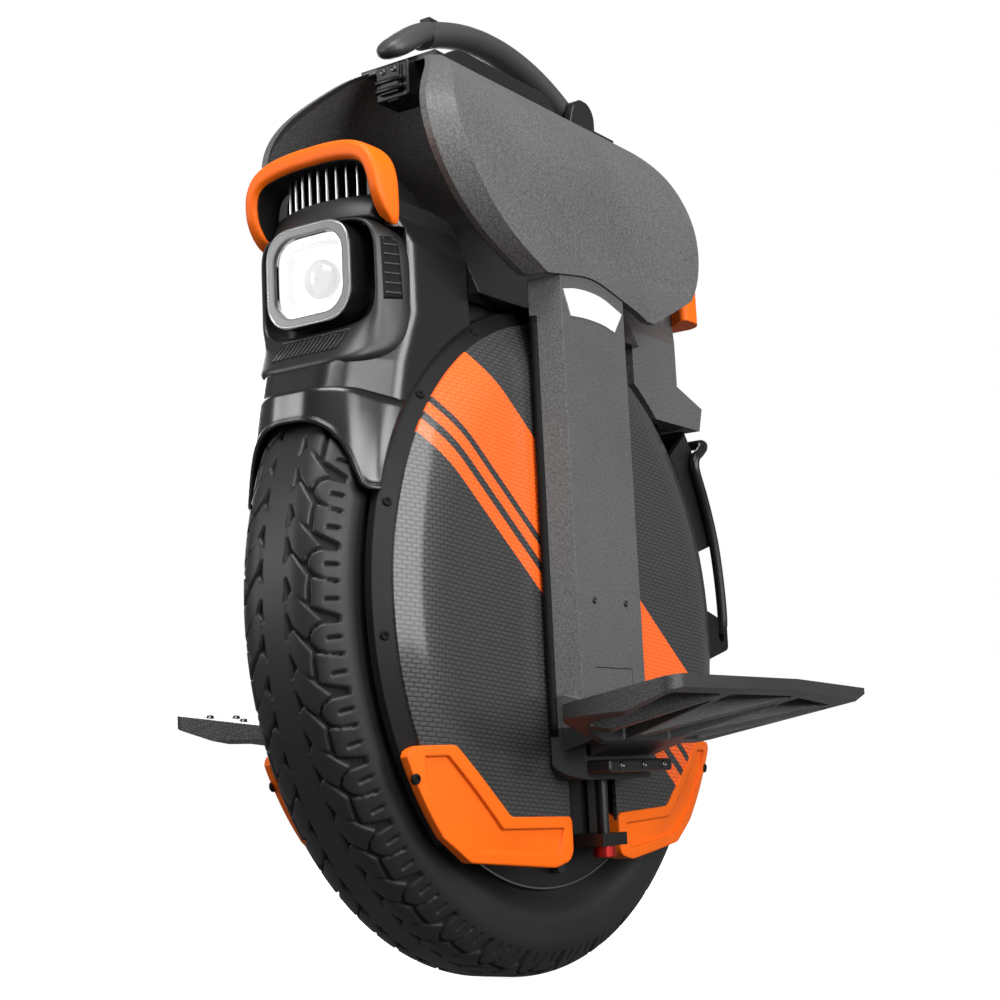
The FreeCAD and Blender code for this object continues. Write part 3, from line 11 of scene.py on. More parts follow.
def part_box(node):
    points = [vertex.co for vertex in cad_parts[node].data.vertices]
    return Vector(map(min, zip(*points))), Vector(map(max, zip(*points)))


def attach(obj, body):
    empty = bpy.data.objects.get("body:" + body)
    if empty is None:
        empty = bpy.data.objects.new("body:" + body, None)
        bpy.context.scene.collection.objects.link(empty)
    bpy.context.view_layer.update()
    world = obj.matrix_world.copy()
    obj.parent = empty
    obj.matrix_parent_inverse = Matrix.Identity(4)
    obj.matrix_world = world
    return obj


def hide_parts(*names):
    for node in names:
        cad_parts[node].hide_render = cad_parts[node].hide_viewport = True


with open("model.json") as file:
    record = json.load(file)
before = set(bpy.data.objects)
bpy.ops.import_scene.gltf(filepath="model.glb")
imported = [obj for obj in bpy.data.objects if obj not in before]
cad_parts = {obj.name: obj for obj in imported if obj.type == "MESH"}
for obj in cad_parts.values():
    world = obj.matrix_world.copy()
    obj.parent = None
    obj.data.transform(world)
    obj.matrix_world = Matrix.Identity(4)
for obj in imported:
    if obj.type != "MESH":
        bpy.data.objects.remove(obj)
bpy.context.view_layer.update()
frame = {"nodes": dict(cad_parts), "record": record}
nodes = frame["nodes"]
MM = 0.001
AXLE_HEIGHT = 233.0
AXLE = Vector((0, 0, AXLE_HEIGHT * MM))

# Stage: camera at the photograph's viewing angle, floor, world and soft lamps
CAMERA_AZIMUTH, CAMERA_ELEVATION, CAMERA_ROLL = map(math.radians, (33.749, -8.946, -2.761))
CAMERA_DISTANCE, FOCAL_SHARE, SENSOR = 1.25, 1.829325, 36.0
CAMERA_AIM = Vector((0, 0, 0.3))
CAMERA_SHIFT = (0.002275, 0.016251)
WHITE = (1, 1, 1, 1)
AMBIENT = 0.1
FLOOR_GLOW = 0.95
GLOSS_SHARE = 0.12
FLOOR_SIZE = 30.0
FLOOR_COLOUR, FLOOR_BOUNCE = (0.55, 0.55, 0.55, 1), (0.1, 0.1, 0.1, 1)
CAST_REACH = 400.0


def direction(azimuth, elevation):
    """Unit vector from the object towards a viewer at these angles."""
    return Vector((math.sin(azimuth) * math.cos(elevation), -math.cos(azimuth) * math.cos(elevation),
                   math.sin(elevation)))


def place_camera():
    back = direction(CAMERA_AZIMUTH, CAMERA_ELEVATION)
    level = Vector((math.cos(CAMERA_AZIMUTH), math.sin(CAMERA_AZIMUTH), 0))
    rise = back.cross(level)
    c, s = math.cos(CAMERA_ROLL), math.sin(CAMERA_ROLL)
    right, up = c * level + s * rise, c * rise - s * level
    data = bpy.data.cameras.new("camera")
    data.sensor_width = SENSOR
    data.lens = FOCAL_SHARE * SENSOR
    data.clip_start = 0.01
    camera = bpy.data.objects.new("camera", data)
    at = CAMERA_AIM + CAMERA_SHIFT[0] * right + CAMERA_SHIFT[1] * up + CAMERA_DISTANCE * back
    camera.matrix_world = Matrix.Translation(at) @ Matrix((right, up, back)).transposed().to_4x4()
    bpy.context.scene.collection.objects.link(camera)
    bpy.context.scene.camera = camera


def lamp(name, azimuth, elevation, distance, size, watts):
    """A soft box of a width and a height that faces the object."""
    data = bpy.data.lights.new(name, "AREA")
    data.shape = "RECTANGLE"
    data.size, data.size_y = size
    data.energy = watts
    towards = direction(math.radians(azimuth), math.radians(elevation))
    thing = bpy.data.objects.new(name, data)
    thing.location = CAMERA_AIM + towards * distance
    thing.rotation_euler = towards.to_track_quat("Z", "Y").to_euler()
    bpy.context.scene.collection.objects.link(thing)


# Node graphs


def add(tree, kind, inputs=(), **settings):
    """A node with its settings and inputs; an input is a value or another node's output."""
    made = tree.nodes.new("ShaderNode" + kind)
    for key, value in settings.items():
        setattr(made, key, value)
    for key, value in dict(inputs).items():
        if isinstance(value, bpy.types.NodeSocket):
            tree.links.new(value, made.inputs[key])
        else:
            made.inputs[key].default_value = value
    return made


def math_node(tree, operation, first, second=0.0, clamp=False):
    return add(tree, "Math", {0: first, 1: second}, operation=operation, use_clamp=clamp).outputs[0]


def background_share(tree):
    """One for rays that should see the plain white background, a part of it for reflections, else zero."""
    path = add(tree, "LightPath").outputs
    seen = math_node(tree, "MAXIMUM", path["Is Camera Ray"], path["Is Transmission Ray"])
    return math_node(tree, "MAXIMUM", seen, math_node(tree, "MULTIPLY", path["Is Glossy Ray"], GLOSS_SHARE))


def set_world():
    world = bpy.data.worlds.new("studio")
    bpy.context.scene.world = world
    world.use_nodes = True
    tree = world.node_tree
    tree.nodes.clear()
    share = background_share(tree)
    plain = add(tree, "Background", {"Color": WHITE, "Strength": 1.0})
    soft = add(tree, "Background", {"Color": WHITE, "Strength": AMBIENT})
    mix = add(tree, "MixShader", {0: share, 1: soft.outputs[0], 2: plain.outputs[0]})
    out = add(tree, "OutputWorld")
    tree.links.new(mix.outputs[0], out.inputs[0])


def set_floor():
    half = FLOOR_SIZE / 2
    mesh = bpy.data.meshes.new("floor")
    corners = [(-half, -half, 0), (half, -half, 0), (half, half, 0), (-half, half, 0)]
    mesh.from_pydata(corners, [], [(0, 1, 2, 3)])
    floor = bpy.data.objects.new("floor", mesh)
    bpy.context.scene.collection.objects.link(floor)
    mat = bpy.data.materials.new("floor")
    mat.use_nodes = True
    tree = mat.node_tree
    tree.nodes.clear()
    seen = add(tree, "LightPath").outputs["Is Camera Ray"]
    colour = add(tree, "Mix", {0: seen, 6: FLOOR_BOUNCE, 7: FLOOR_COLOUR}, data_type="RGBA").outputs[2]
    diffuse = add(tree, "BsdfDiffuse", {"Color": colour})
    level = add(tree, "Math", {0: background_share(tree), 1: FLOOR_GLOW}, operation="MULTIPLY")
    glow = add(tree, "Emission", {"Color": WHITE, "Strength": level.outputs[0]})
    both = add(tree, "AddShader", {0: diffuse.outputs[0], 1: glow.outputs[0]})
    out = add(tree, "OutputMaterial")
    tree.links.new(both.outputs[0], out.inputs[0])
    mesh.materials.append(mat)


# Materials


def srgb(*levels):
    """Linear colour of sRGB levels from 0 to 255."""
    if len(levels) == 1:
        levels = levels * 3
    shares = [level / 255 for level in levels]
    return tuple(s / 12.92 if s <= 0.04045 else ((s + 0.055) / 1.055) ** 2.4 for s in shares) + (1.0,)


def scaled(colour, factor):
    return tuple(c * factor for c in colour[:3]) + (1.0,)


def blank(name, **values):
    """A new material, its tree and its shader, with constant values on the shader's sockets."""
    mat = bpy.data.materials.new(name)
    mat.use_nodes = True
    shader = mat.node_tree.nodes["Principled BSDF"]
    for key, value in values.items():
        shader.inputs[key.replace("_", " ").title().replace("Ior", "IOR")].default_value = value
    return mat, mat.node_tree, shader


def places(tree):
    return add(tree, "TexCoord").outputs["Object"]


def noise(tree, scale, detail=3.0, rough=0.55):
    inputs = {"Vector": places(tree), "Scale": scale, "Detail": detail, "Roughness": rough}
    return add(tree, "TexNoise", inputs).outputs["Fac"]


def ramp(tree, factor, stops, constant=False):
    made = add(tree, "ValToRGB", {0: factor})
    made.color_ramp.interpolation = "CONSTANT" if constant else "LINEAR"
    elements = made.color_ramp.elements
    while len(elements) < len(stops):
        elements.new(0.5)
    for element, (at, colour) in zip(elements, stops):
        element.position = at
        element.color = colour if isinstance(colour, tuple) else (colour, colour, colour, 1)
    return made.outputs["Color"]


def grain(name, colour, rough, size=1.1, depth=0.12, speckle=0.18, edge=0.7, rough_swing=0.08,
          painted_shade_below=None, **more):
    """Paint, plastic or cast metal: grain of a size in mm, soft edges, mottled, with painted shade below a
    height.
    """
    mat, tree, shader = blank(name, **more)
    fine = noise(tree, 1000 / size, 2.0, 0.6)
    broad = noise(tree, 9.0, 4.0)
    tint = ramp(tree, fine, [(0.3, scaled(colour, 1 - speckle)), (0.7, scaled(colour, 1 + speckle))])
    worn = ramp(tree, broad, [(0.3, 0.92), (0.7, 1.08)])
    mixed = add(tree, "Mix", {0: 1.0, 6: tint, 7: worn}, data_type="RGBA", blend_type="MULTIPLY")
    shown = mixed.outputs[2]
    # Painted shade: below the given height the colour drops to a fifth of itself.
    if painted_shade_below:
        height = add(tree, "SeparateXYZ", {0: places(tree)}).outputs["Z"]
        upper = math_node(tree, "GREATER_THAN", height, painted_shade_below * MM)
        shown = add(tree, "Mix", {0: upper, 6: scaled(colour, 0.2), 7: shown}, data_type="RGBA").outputs[2]
    tree.links.new(shown, shader.inputs["Base Color"])
    swing = {3: rough - rough_swing, 4: rough + rough_swing}
    gloss = add(tree, "MapRange", {"Value": broad, 1: 0.3, 2: 0.7, **swing})
    tree.links.new(gloss.outputs[0], shader.inputs["Roughness"])
    soft = add(tree, "Bevel", {"Radius": edge * MM}, samples=4)
    relief = {"Strength": 1.0, "Distance": depth * MM, "Height": fine, "Normal": soft.outputs[0]}
    bump = add(tree, "Bump", relief)
    tree.links.new(bump.outputs[0], shader.inputs["Normal"])
    return mat


WEAVE_LEAN = math.radians(5)
THREAD_WIDTH, THREAD_HEIGHT = 6.4, 2.7


def weave(tree, width, tall):
    """Staggered threads in the plane seen from the side: one on top of a thread, zero in the gaps."""
    parts = add(tree, "SeparateXYZ", {0: places(tree)}).outputs
    flat = add(tree, "CombineXYZ", {0: parts["Y"], 1: parts["Z"]})
    turn = {"Vector": flat.outputs[0], "Angle": WEAVE_LEAN}
    turned = add(tree, "VectorRotate", turn, rotation_type="Z_AXIS")
    parts = add(tree, "SeparateXYZ", {0: turned.outputs[0]}).outputs
    row = math_node(tree, "DIVIDE", parts["Y"], tall * MM)
    shift = math_node(tree, "MULTIPLY", math_node(tree, "FLOOR", row), 0.5)
    place = math_node(tree, "ADD", math_node(tree, "DIVIDE", parts["X"], width * MM), shift)
    across = math_node(tree, "PINGPONG", math_node(tree, "MULTIPLY", place, 2.0), 1.0)
    along = math_node(tree, "PINGPONG", math_node(tree, "MULTIPLY", row, 2.0), 1.0)
    wide = math_node(tree, "MULTIPLY", across, 3.2, True)
    high = math_node(tree, "MULTIPLY", along, 1.8, True)
    return math_node(tree, "MULTIPLY", wide, high)


STRIPE_LEAN = (0, 0.615, 0.788)
STRIPE_BANDS = ((161.5, 171.6), (177.5, 185.8), (191.0, 241.0))
STRIPE_FROM, STRIPE_SPAN = 150.0, 100.0


def carbon(name, stripe):
    """Woven fibre under a gloss lacquer, with three slanted bands of colour across it."""
    mat, tree, shader = blank(name, coat_weight=0.55, coat_roughness=0.13, specular_ior_level=0.4)
    thread = weave(tree, THREAD_WIDTH, THREAD_HEIGHT)
    dark = ramp(tree, thread, [(0.0, srgb(18)), (0.5, srgb(38)), (1.0, srgb(56))])
    lean = {0: places(tree), 1: STRIPE_LEAN}
    along = add(tree, "VectorMath", lean, operation="DOT_PRODUCT").outputs["Value"]
    share = add(tree, "MapRange", {"Value": along, 1: STRIPE_FROM * MM, 2: (STRIPE_FROM + STRIPE_SPAN) * MM})
    stops = [(0.0, 0.0)]
    for low, high in STRIPE_BANDS:
        stops.append(((low - STRIPE_FROM) / STRIPE_SPAN, 1.0))
        stops.append(((high - STRIPE_FROM) / STRIPE_SPAN, 0.0))
    mask = ramp(tree, share.outputs[0], stops, constant=True)
    tones = [(0.0, scaled(stripe, 0.66)), (0.5, scaled(stripe, 0.95)), (1.0, scaled(stripe, 1.1))]
    light = ramp(tree, thread, tones)
    colour = add(tree, "Mix", {0: mask, 6: dark, 7: light}, data_type="RGBA").outputs[2]
    tree.links.new(colour, shader.inputs["Base Color"])
    gloss = ramp(tree, thread, [(0.0, 0.6), (1.0, 0.42)])
    tree.links.new(gloss, shader.inputs["Roughness"])
    bump = add(tree, "Bump", {"Strength": 0.7, "Distance": 0.2 * MM, "Height": thread})
    tree.links.new(bump.outputs[0], shader.inputs["Normal"])
    return mat


def glass(name, colour, rough):
    mat, tree, shader = blank(name, base_color=colour, transmission_weight=1.0, ior=1.49)
    spots = noise(tree, 260.0, 2.0)
    gloss = add(tree, "MapRange", {"Value": spots, 3: rough, 4: rough + 0.03})
    tree.links.new(gloss.outputs[0], shader.inputs["Roughness"])
    return mat


def lit(name, colour, strength, glow_share_in_painted_shade=1.0):
    """A glowing surface whose glow falls across its width to a given share on the rider's left; on the
    headlight's bowl and wall the glow is painted light and the fall-off painted shade.
    """
    mat, tree, shader = blank(name, base_color=scaled(colour, 0.12), emission_strength=strength)
    # Painted shade: the glow falls off across the width, from full on one side to the given share.
    across = add(tree, "SeparateXYZ", {0: places(tree)}).outputs["X"]
    share = add(tree, "MapRange", {"Value": across, 1: -0.012, 2: 0.016, 3: 1.0, 4: glow_share_in_painted_shade}).outputs[0]
    fine = noise(tree, 420.0, 1.0)
    spots = add(tree, "MapRange", {"Value": fine, 1: 0.3, 2: 0.7, 3: 0.92, 4: 1.0}).outputs[0]
    level = math_node(tree, "MULTIPLY", share, spots)
    glow = add(tree, "Mix", {0: level, 6: (0, 0, 0, 1), 7: colour}, data_type="RGBA").outputs[2]
    tree.links.new(glow, shader.inputs["Emission Color"])
    return mat


def rubber(name, colour, deep):
    """Moulded rubber, with painted shade that darkens it down in the grooves of its tread."""
    mat, tree, shader = blank(name, specular_ior_level=0.4)
    depth = add(tree, "Attribute", attribute_name="groove").outputs["Fac"]
    fine = noise(tree, 1200.0, 2.0)
    broad = noise(tree, 14.0, 4.0)
    tint = ramp(tree, fine, [(0.3, scaled(colour, 0.9)), (0.7, scaled(colour, 1.1))])
    # Painted shade: the deeper in a groove, the closer the colour goes to the near-black deep colour.
    shade = ramp(tree, depth, [(0.35, 0.0), (0.65, 1.0)])
    mixed = add(tree, "Mix", {0: shade, 6: tint, 7: deep}, data_type="RGBA").outputs[2]
    tree.links.new(mixed, shader.inputs["Base Color"])
    gloss = add(tree, "MapRange", {"Value": broad, 1: 0.3, 2: 0.7, 3: 0.42, 4: 0.54})
    rough = add(tree, "Mix", {0: shade, 2: gloss.outputs[0], 3: 0.8}).outputs[0]
    tree.links.new(rough, shader.inputs["Roughness"])
    bump = add(tree, "Bump", {"Strength": 1.0, "Distance": 0.04 * MM, "Height": fine})
    tree.links.new(bump.outputs[0], shader.inputs["Normal"])
    return mat


ORANGE = srgb(244, 104, 8)
FINISHES = {
    "satin_grey": grain("satin_grey", srgb(86), 0.46, 1.5, 0.3, 0.4, specular_ior_level=0.4),
    # The legs carry painted shade below 157 mm, where the pedals shade them.
    "leg_grey": grain("leg_grey", srgb(80), 0.44, 1.3, 0.26, 0.34, painted_shade_below=157, specular_ior_level=0.4),
    "body_black": grain("body_black", srgb(18), 0.25, 0.7, 0.01, 0.08, 2.0, 0.03, coat_weight=0.4,
                        coat_roughness=0.2),
    "deep_black": grain("deep_black", srgb(14), 0.38, 0.7, 0.03, 0.08, 0.6),
    "carbon_look": carbon("carbon_look", srgb(250, 98, 22)),
    "orange": grain("orange", ORANGE, 0.5, 0.8, 0.03, 0.03, 2.2, specular_ior_level=0.25),
    # The tyre's second colour is painted shade down in its grooves.
    "tyre": rubber("tyre", srgb(24), srgb(3)),
    "black_alloy": grain("black_alloy", srgb(24), 0.32, 0.6, 0.02, 0.06, 0.5, metallic=0.3),
    "cast_alloy": grain("cast_alloy", srgb(54), 0.4, 1.2, 0.3, 0.34, 1.0, metallic=0.3),
    "bare_alloy": grain("bare_alloy", srgb(170), 0.3, 0.5, 0.02, 0.06, 0.4, metallic=1.0),
    "steel": grain("steel", srgb(90), 0.3, 0.5, 0.02, 0.06, 0.3, metallic=1.0),
    "red_alloy": grain("red_alloy", srgb(160, 26, 22), 0.32, 0.5, 0.02, 0.06, 0.4, metallic=0.7),
    "silver_plate": grain("silver_plate", srgb(214), 0.5, 0.35, 0.03, 0.04, 0.2, specular_ior_level=0.2),
    "clear": glass("clear", WHITE, 0.0),
    "white_light": lit("white_light", srgb(250, 252, 255), 0.95),
    # The reflector glows with painted light that fades across it to painted shade.
    "reflector": lit("reflector", srgb(244, 246, 248), 0.95, 0.42),
    "red_lens": grain("red_lens", srgb(190, 18, 28), 0.2, 0.8, 0.01, 0.05, 0.4),
    "board_green": grain("board_green", srgb(26, 84, 52), 0.5, 2.0, 0.02, 0.2),
    "pack_blue": grain("pack_blue", srgb(34, 62, 120), 0.5, 2.0, 0.02, 0.1),
    "soft_black": grain("soft_black", srgb(34), 0.5, 0.9, 0.12, 0.2, 0.8),
}
VENT_BLACK = grain("vent_black", srgb(7), 0.7, 0.7, 0.02, 0.08, 0.3, specular_ior_level=0.2)
MASK_BLACK = grain("mask_black", srgb(24), 0.42, 0.7, 0.02, 0.08, 1.0)
RING_BLACK = grain("ring_black", srgb(12), 0.58, 0.9, 0.1, 0.3, 0.8, specular_ior_level=0.25)
HANDLE_GREY = grain("handle_grey", srgb(56), 0.45, 0.9, 0.1, 0.2, 0.8)
# The headlight's inner wall glows with painted light that fades across it to painted shade.
LAMP_WALL_PAINTED_LIGHT = lit("lamp_wall_painted_light", srgb(150), 0.8, 0.7)
PROJECTOR_GLASS = grain("projector_glass", srgb(88), 0.12, 9.0, 0.0, 0.3, 0.2, 0.02, coat_weight=1.0,
                        coat_roughness=0.03)


def dress(thing, finish):
    thing.data.materials.clear()
    thing.data.materials.append(finish)


for row in frame["record"]["subparts"]:
    dress(nodes[row["node"]], FINISHES[row["material_slot"]])
dress(nodes["shock_rods"], FINISHES["black_alloy"])
dress(nodes["trolley_handle"], HANDLE_GREY)
dress(nodes["rear_cowl"], FINISHES["satin_grey"])
for name in ("left_edge_ring", "right_edge_ring"):
    dress(nodes[name], RING_BLACK)


# Meshes

BEVEL_STEPS = 3


def piece(name, mesh, body, slot_name, finish=None, smooth=True):
    """A finished piece that rides on a body and takes its finish from a slot."""
    if isinstance(mesh, bmesh.types.BMesh):
        data = bpy.data.meshes.new(name)
        mesh.to_mesh(data)
        mesh.free()
        mesh = data
    if smooth:
        mesh.shade_smooth()
    else:
        mesh.shade_flat()
    thing = bpy.data.objects.new(name, mesh)
    bpy.context.scene.collection.objects.link(thing)
    mesh.materials.append(finish or FINISHES[slot_name])
    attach(thing, body)
    return thing


def skin(node):
    mesh = nodes[node].data
    return BVHTree.FromPolygons([v.co for v in mesh.vertices], [p.vertices[:] for p in mesh.polygons])


def seat(tree, start, way):
    """Where a line from a place in mm meets a surface, and the way the surface faces there."""
    place, facing, _, _ = tree.ray_cast(Vector(start) * MM, Vector(way))
    return place, facing


def gather(forms):
    """One form out of many."""
    whole = bmesh.new()
    for form in forms:
        part = bpy.data.meshes.new("part")
        form.to_mesh(part)
        form.free()
        whole.from_mesh(part)
        bpy.data.meshes.remove(part)
    return whole


def skinned(rings, closed=False):
    """A closed form through rings of places in mm, with end caps unless the rings close on themselves."""
    form = bmesh.new()
    rows = [[form.verts.new(Vector(place) * MM) for place in ring] for ring in rings]
    for low, high in zip(rows, rows[1:] + rows[:1] if closed else rows[1:]):
        for i in range(len(low)):
            j = (i + 1) % len(low)
            form.faces.new((low[i], low[j], high[j], high[i]))
    if not closed:
        form.faces.new(rows[0][::-1])
        form.faces.new(rows[-1])
    bmesh.ops.recalc_face_normals(form, faces=form.faces)
    return form


def lathe(profile, place, axis, count=24):
    """A turned form of (radius, height) corners in mm about an axis through a place in metres."""
    turn = Vector(axis).to_track_quat("Z", "Y").to_matrix()
    rings = []
    for radius, height in profile:
        angles = [2 * math.pi * i / count for i in range(count)]
        rings.append([Vector(place) / MM + turn @ Vector((radius * math.cos(a), radius * math.sin(a), height))
                      for a in angles])
    return skinned(rings)


def slab(low, high, bevel):
    """A block between two corners in mm with rounded edges."""
    form = bmesh.new()
    bmesh.ops.create_cube(form, size=1.0)
    low, high = Vector(low), Vector(high)
    for vert in form.verts:
        share = vert.co + Vector((0.5, 0.5, 0.5))
        vert.co = Vector([(a + (b - a) * t) * MM for a, b, t in zip(low, high, share)])
    bmesh.ops.bevel(form, geom=form.edges[:], offset=bevel * MM, segments=BEVEL_STEPS, profile=0.5,
                    affect="EDGES")
    return form


def plate(outer, inner, steps):
    """A closed sheet between two grids of places in metres, of this many steps each way."""
    form = bmesh.new()
    tops, lows = [form.verts.new(p) for p in outer], [form.verts.new(p) for p in inner]
    wide = steps[1] + 1
    for i in range(steps[0]):
        for j in range(steps[1]):
            a, b, c, d = i * wide + j, (i + 1) * wide + j, (i + 1) * wide + j + 1, i * wide + j + 1
            form.faces.new((tops[a], tops[b], tops[c], tops[d]))
            form.faces.new((lows[d], lows[c], lows[b], lows[a]))
    rim = [i * wide for i in range(steps[0])] + [steps[0] * wide + j for j in range(steps[1])]
    rim += [(steps[0] - i) * wide + steps[1] for i in range(steps[0])]
    rim += [steps[1] - j for j in range(steps[1])]
    for a, b in zip(rim, rim[1:] + rim[:1]):
        form.faces.new((tops[b], tops[a], lows[a], lows[b]))
    bmesh.ops.recalc_face_normals(form, faces=form.faces)
    return form


def smooth_line(knots, steps):
    """Points on a smooth curve through knots of any number of values."""
    knots = [np.array(k, float) for k in knots]
    ends = [2 * knots[0] - knots[1]] + knots + [2 * knots[-1] - knots[-2]]
    found = []
    for a, b, c, d in zip(ends, ends[1:], ends[2:], ends[3:]):
        for t in np.arange(steps) / steps:
            bend = (2 * a - 5 * b + 4 * c - d) * t * t + (3 * b - 3 * c + d - a) * t ** 3
            found.append(0.5 * (2 * b + (c - a) * t + bend))
    return found + [knots[-1]]


def oval(power, count):
    """Corners of a rounded four-sided outline between -1 and 1."""
    angles = [2 * math.pi * (i + 0.5) / count for i in range(count)]
    pairs = [(math.cos(a), math.sin(a)) for a in angles]
    return [tuple(math.copysign(abs(v) ** (2 / power), v) for v in pair) for pair in pairs]


def laid(tree, way, grid, lift, sink=0.6):
    """A thin plate on a surface: rows of spots, in the two axes across a main direction, cast on to it."""
    main = max(range(3), key=lambda i: abs(way[i]))
    others = [i for i in range(3) if i != main]
    outer, inner = [], []
    for row in grid:
        for spot in row:
            start = Vector((0, 0, 0))
            start[main] = -CAST_REACH * way[main]
            start[others[0]], start[others[1]] = spot
            place, _ = seat(tree, start, way)
            outer.append(place - Vector(way) * lift * MM)
            inner.append(place + Vector(way) * sink * MM)
    return plate(outer, inner, (len(grid) - 1, len(grid[0]) - 1))


def pad(tree, way, quad, lift, steps=(6, 6), sink=0.6):
    """A thin four-cornered plate laid on a surface."""
    grid = []
    for u in np.linspace(0, 1, steps[0] + 1):
        row = []
        for v in np.linspace(0, 1, steps[1] + 1):
            shares = ((1 - u) * (1 - v), u * (1 - v), u * v, (1 - u) * v)
            row.append([sum(share * corner[i] for share, corner in zip(shares, quad)) for i in (0, 1)])
        grid.append(row)
    return laid(tree, way, grid, lift, sink)


def tube(points, radius, count=14):
    """A round bar along places in mm."""
    points = [Vector(p) for p in points]
    side = Vector((0, 0, 1))
    rings = []
    for i, place in enumerate(points):
        along = (points[min(i + 1, len(points) - 1)] - points[max(i - 1, 0)]).normalized()
        side = (side - along * side.dot(along)).normalized()
        up = along.cross(side)
        rings.append([place + (side * a + up * b) * radius for a, b in oval(2, count)])
    return skinned(rings)


# Tyre: a profile across the width, a tread pattern unrolled as raised blocks, wrapped round the axle
TYRE_CORNERS = [(0, 233, 0), (23.6, 233, 24.7), (38, 214.7, 16), (38, 195.2, 16), (27, 179, 3), (27, 172, 0)]
PITCH_COUNT = 33
PITCH = 44.0
BLOCKS = {
    "blade": [(0, 21.2), (13.6, 22), (25.5, 12.4), (23, 10.2), (14, 10.2), (6, 14)],
    "hook": [(22.7, 20.5), (26, 22), (29, 25), (31.4, 29.4), (40, 20.5), (47.7, 13), (45, 10.8), (37, 10.6),
             (30, 13.5)],
    "slab": [(-4, 26.6), (-9.5, 42), (7.3, 42), (10.9, 26.6)],
    "tongue": [(12.5, 42), (12.8, 33), (15, 28.5), (18.5, 25.6), (22, 24.9), (25, 26.5), (27, 30), (27.6, 35),
               (27.3, 42)],
}
BAND_EDGE = [(0, 8.0), (21.6, 9.4), (22, 8.0), (43.6, 9.4), (44, 8.0)]
SIPES = [(-1.0, 33.0), (20.0, 33.0)]
SIPE_WIDTH = 2.6
GROOVE_DEPTH = 2.6
BLOCK_GROWTH = 1.0
SIDE_OFFSET = 11.0
TREAD_HALF = 42.0
WALL_SOFT = 0.9
ARC_STEP = 0.3
TREAD_STEP, TREAD_COLUMNS = 1.05, 42
WALL_ROWS, WALL_START = 16, 2.2


def rounded_profile(corners):
    """Straight runs joined by arcs, from crown to bead: the run to each point, and its place."""
    points = [Vector(c[:2]) for c in corners]
    dense = [points[0]]
    for before, here, after, corner in zip(points, points[1:], points[2:], corners[1:]):
        a, b = (here - before).normalized(), (after - here).normalized()
        turn = a.angle(b)
        reach = corner[2] * math.tan(turn / 2)
        centre = here + (b - a).normalized() * (corner[2] / math.cos(turn / 2))
        count = max(2, int(corner[2] * turn / ARC_STEP))
        first = here - a * reach - centre
        sign = 1 if a.x * b.y - a.y * b.x > 0 else -1
        for i in range(count + 1):
            angle = sign * turn * i / count
            dense.append(centre + Vector((first.x * math.cos(angle) - first.y * math.sin(angle),
                                          first.x * math.sin(angle) + first.y * math.cos(angle))))
    dense.append(points[-1])
    xs, ys = np.array([p.x for p in dense]), np.array([p.y for p in dense])
    run = np.concatenate([[0], np.cumsum(np.hypot(np.diff(xs), np.diff(ys)))])
    return run, xs, ys


def polygon_distance(s, t, corners):
    """Distance to a closed outline, negative inside."""
    nearest = np.full(s.shape, 1e9)
    inside = np.zeros(s.shape, bool)
    for (s0, t0), (s1, t1) in zip(corners, corners[1:] + corners[:1]):
        ds, dt = s1 - s0, t1 - t0
        share = np.clip(((s - s0) * ds + (t - t0) * dt) / (ds * ds + dt * dt), 0, 1)
        nearest = np.minimum(nearest, np.hypot(s - s0 - share * ds, t - t0 - share * dt))
        crosses = (t0 > t) != (t1 > t)
        inside ^= crosses & (s < s0 + (t - t0) * ds / np.where(dt == 0, 1e-9, dt))
    return np.where(inside, -nearest, nearest)


def tread_drop(s, t):
    """Depth below the tyre's outer skin at a place along and across the unrolled tread."""
    side = np.where(t < 0, SIDE_OFFSET, 0.0)
    s, t = (s + side) % PITCH, np.abs(t)
    band = t - np.interp(s, [p[0] for p in BAND_EDGE], [p[1] for p in BAND_EDGE])
    nearest = np.minimum(band, (TREAD_HALF - t))
    for corners in BLOCKS.values():
        for shift in (-PITCH, 0, PITCH):
            reach = polygon_distance(s, t, [(a + shift, b) for a, b in corners]) - BLOCK_GROWTH
            nearest = np.minimum(nearest, reach)
    for at, inner in SIPES:
        for shift in (-PITCH, 0, PITCH):
            slot = np.maximum(np.abs(s - at - shift) - SIPE_WIDTH / 2, inner - t)
            nearest = np.where(t < TREAD_HALF - 0.5, np.maximum(nearest, -slot), nearest)
    share = np.clip(nearest / WALL_SOFT, 0, 1)
    return GROOVE_DEPTH * share * share * (3 - 2 * share)


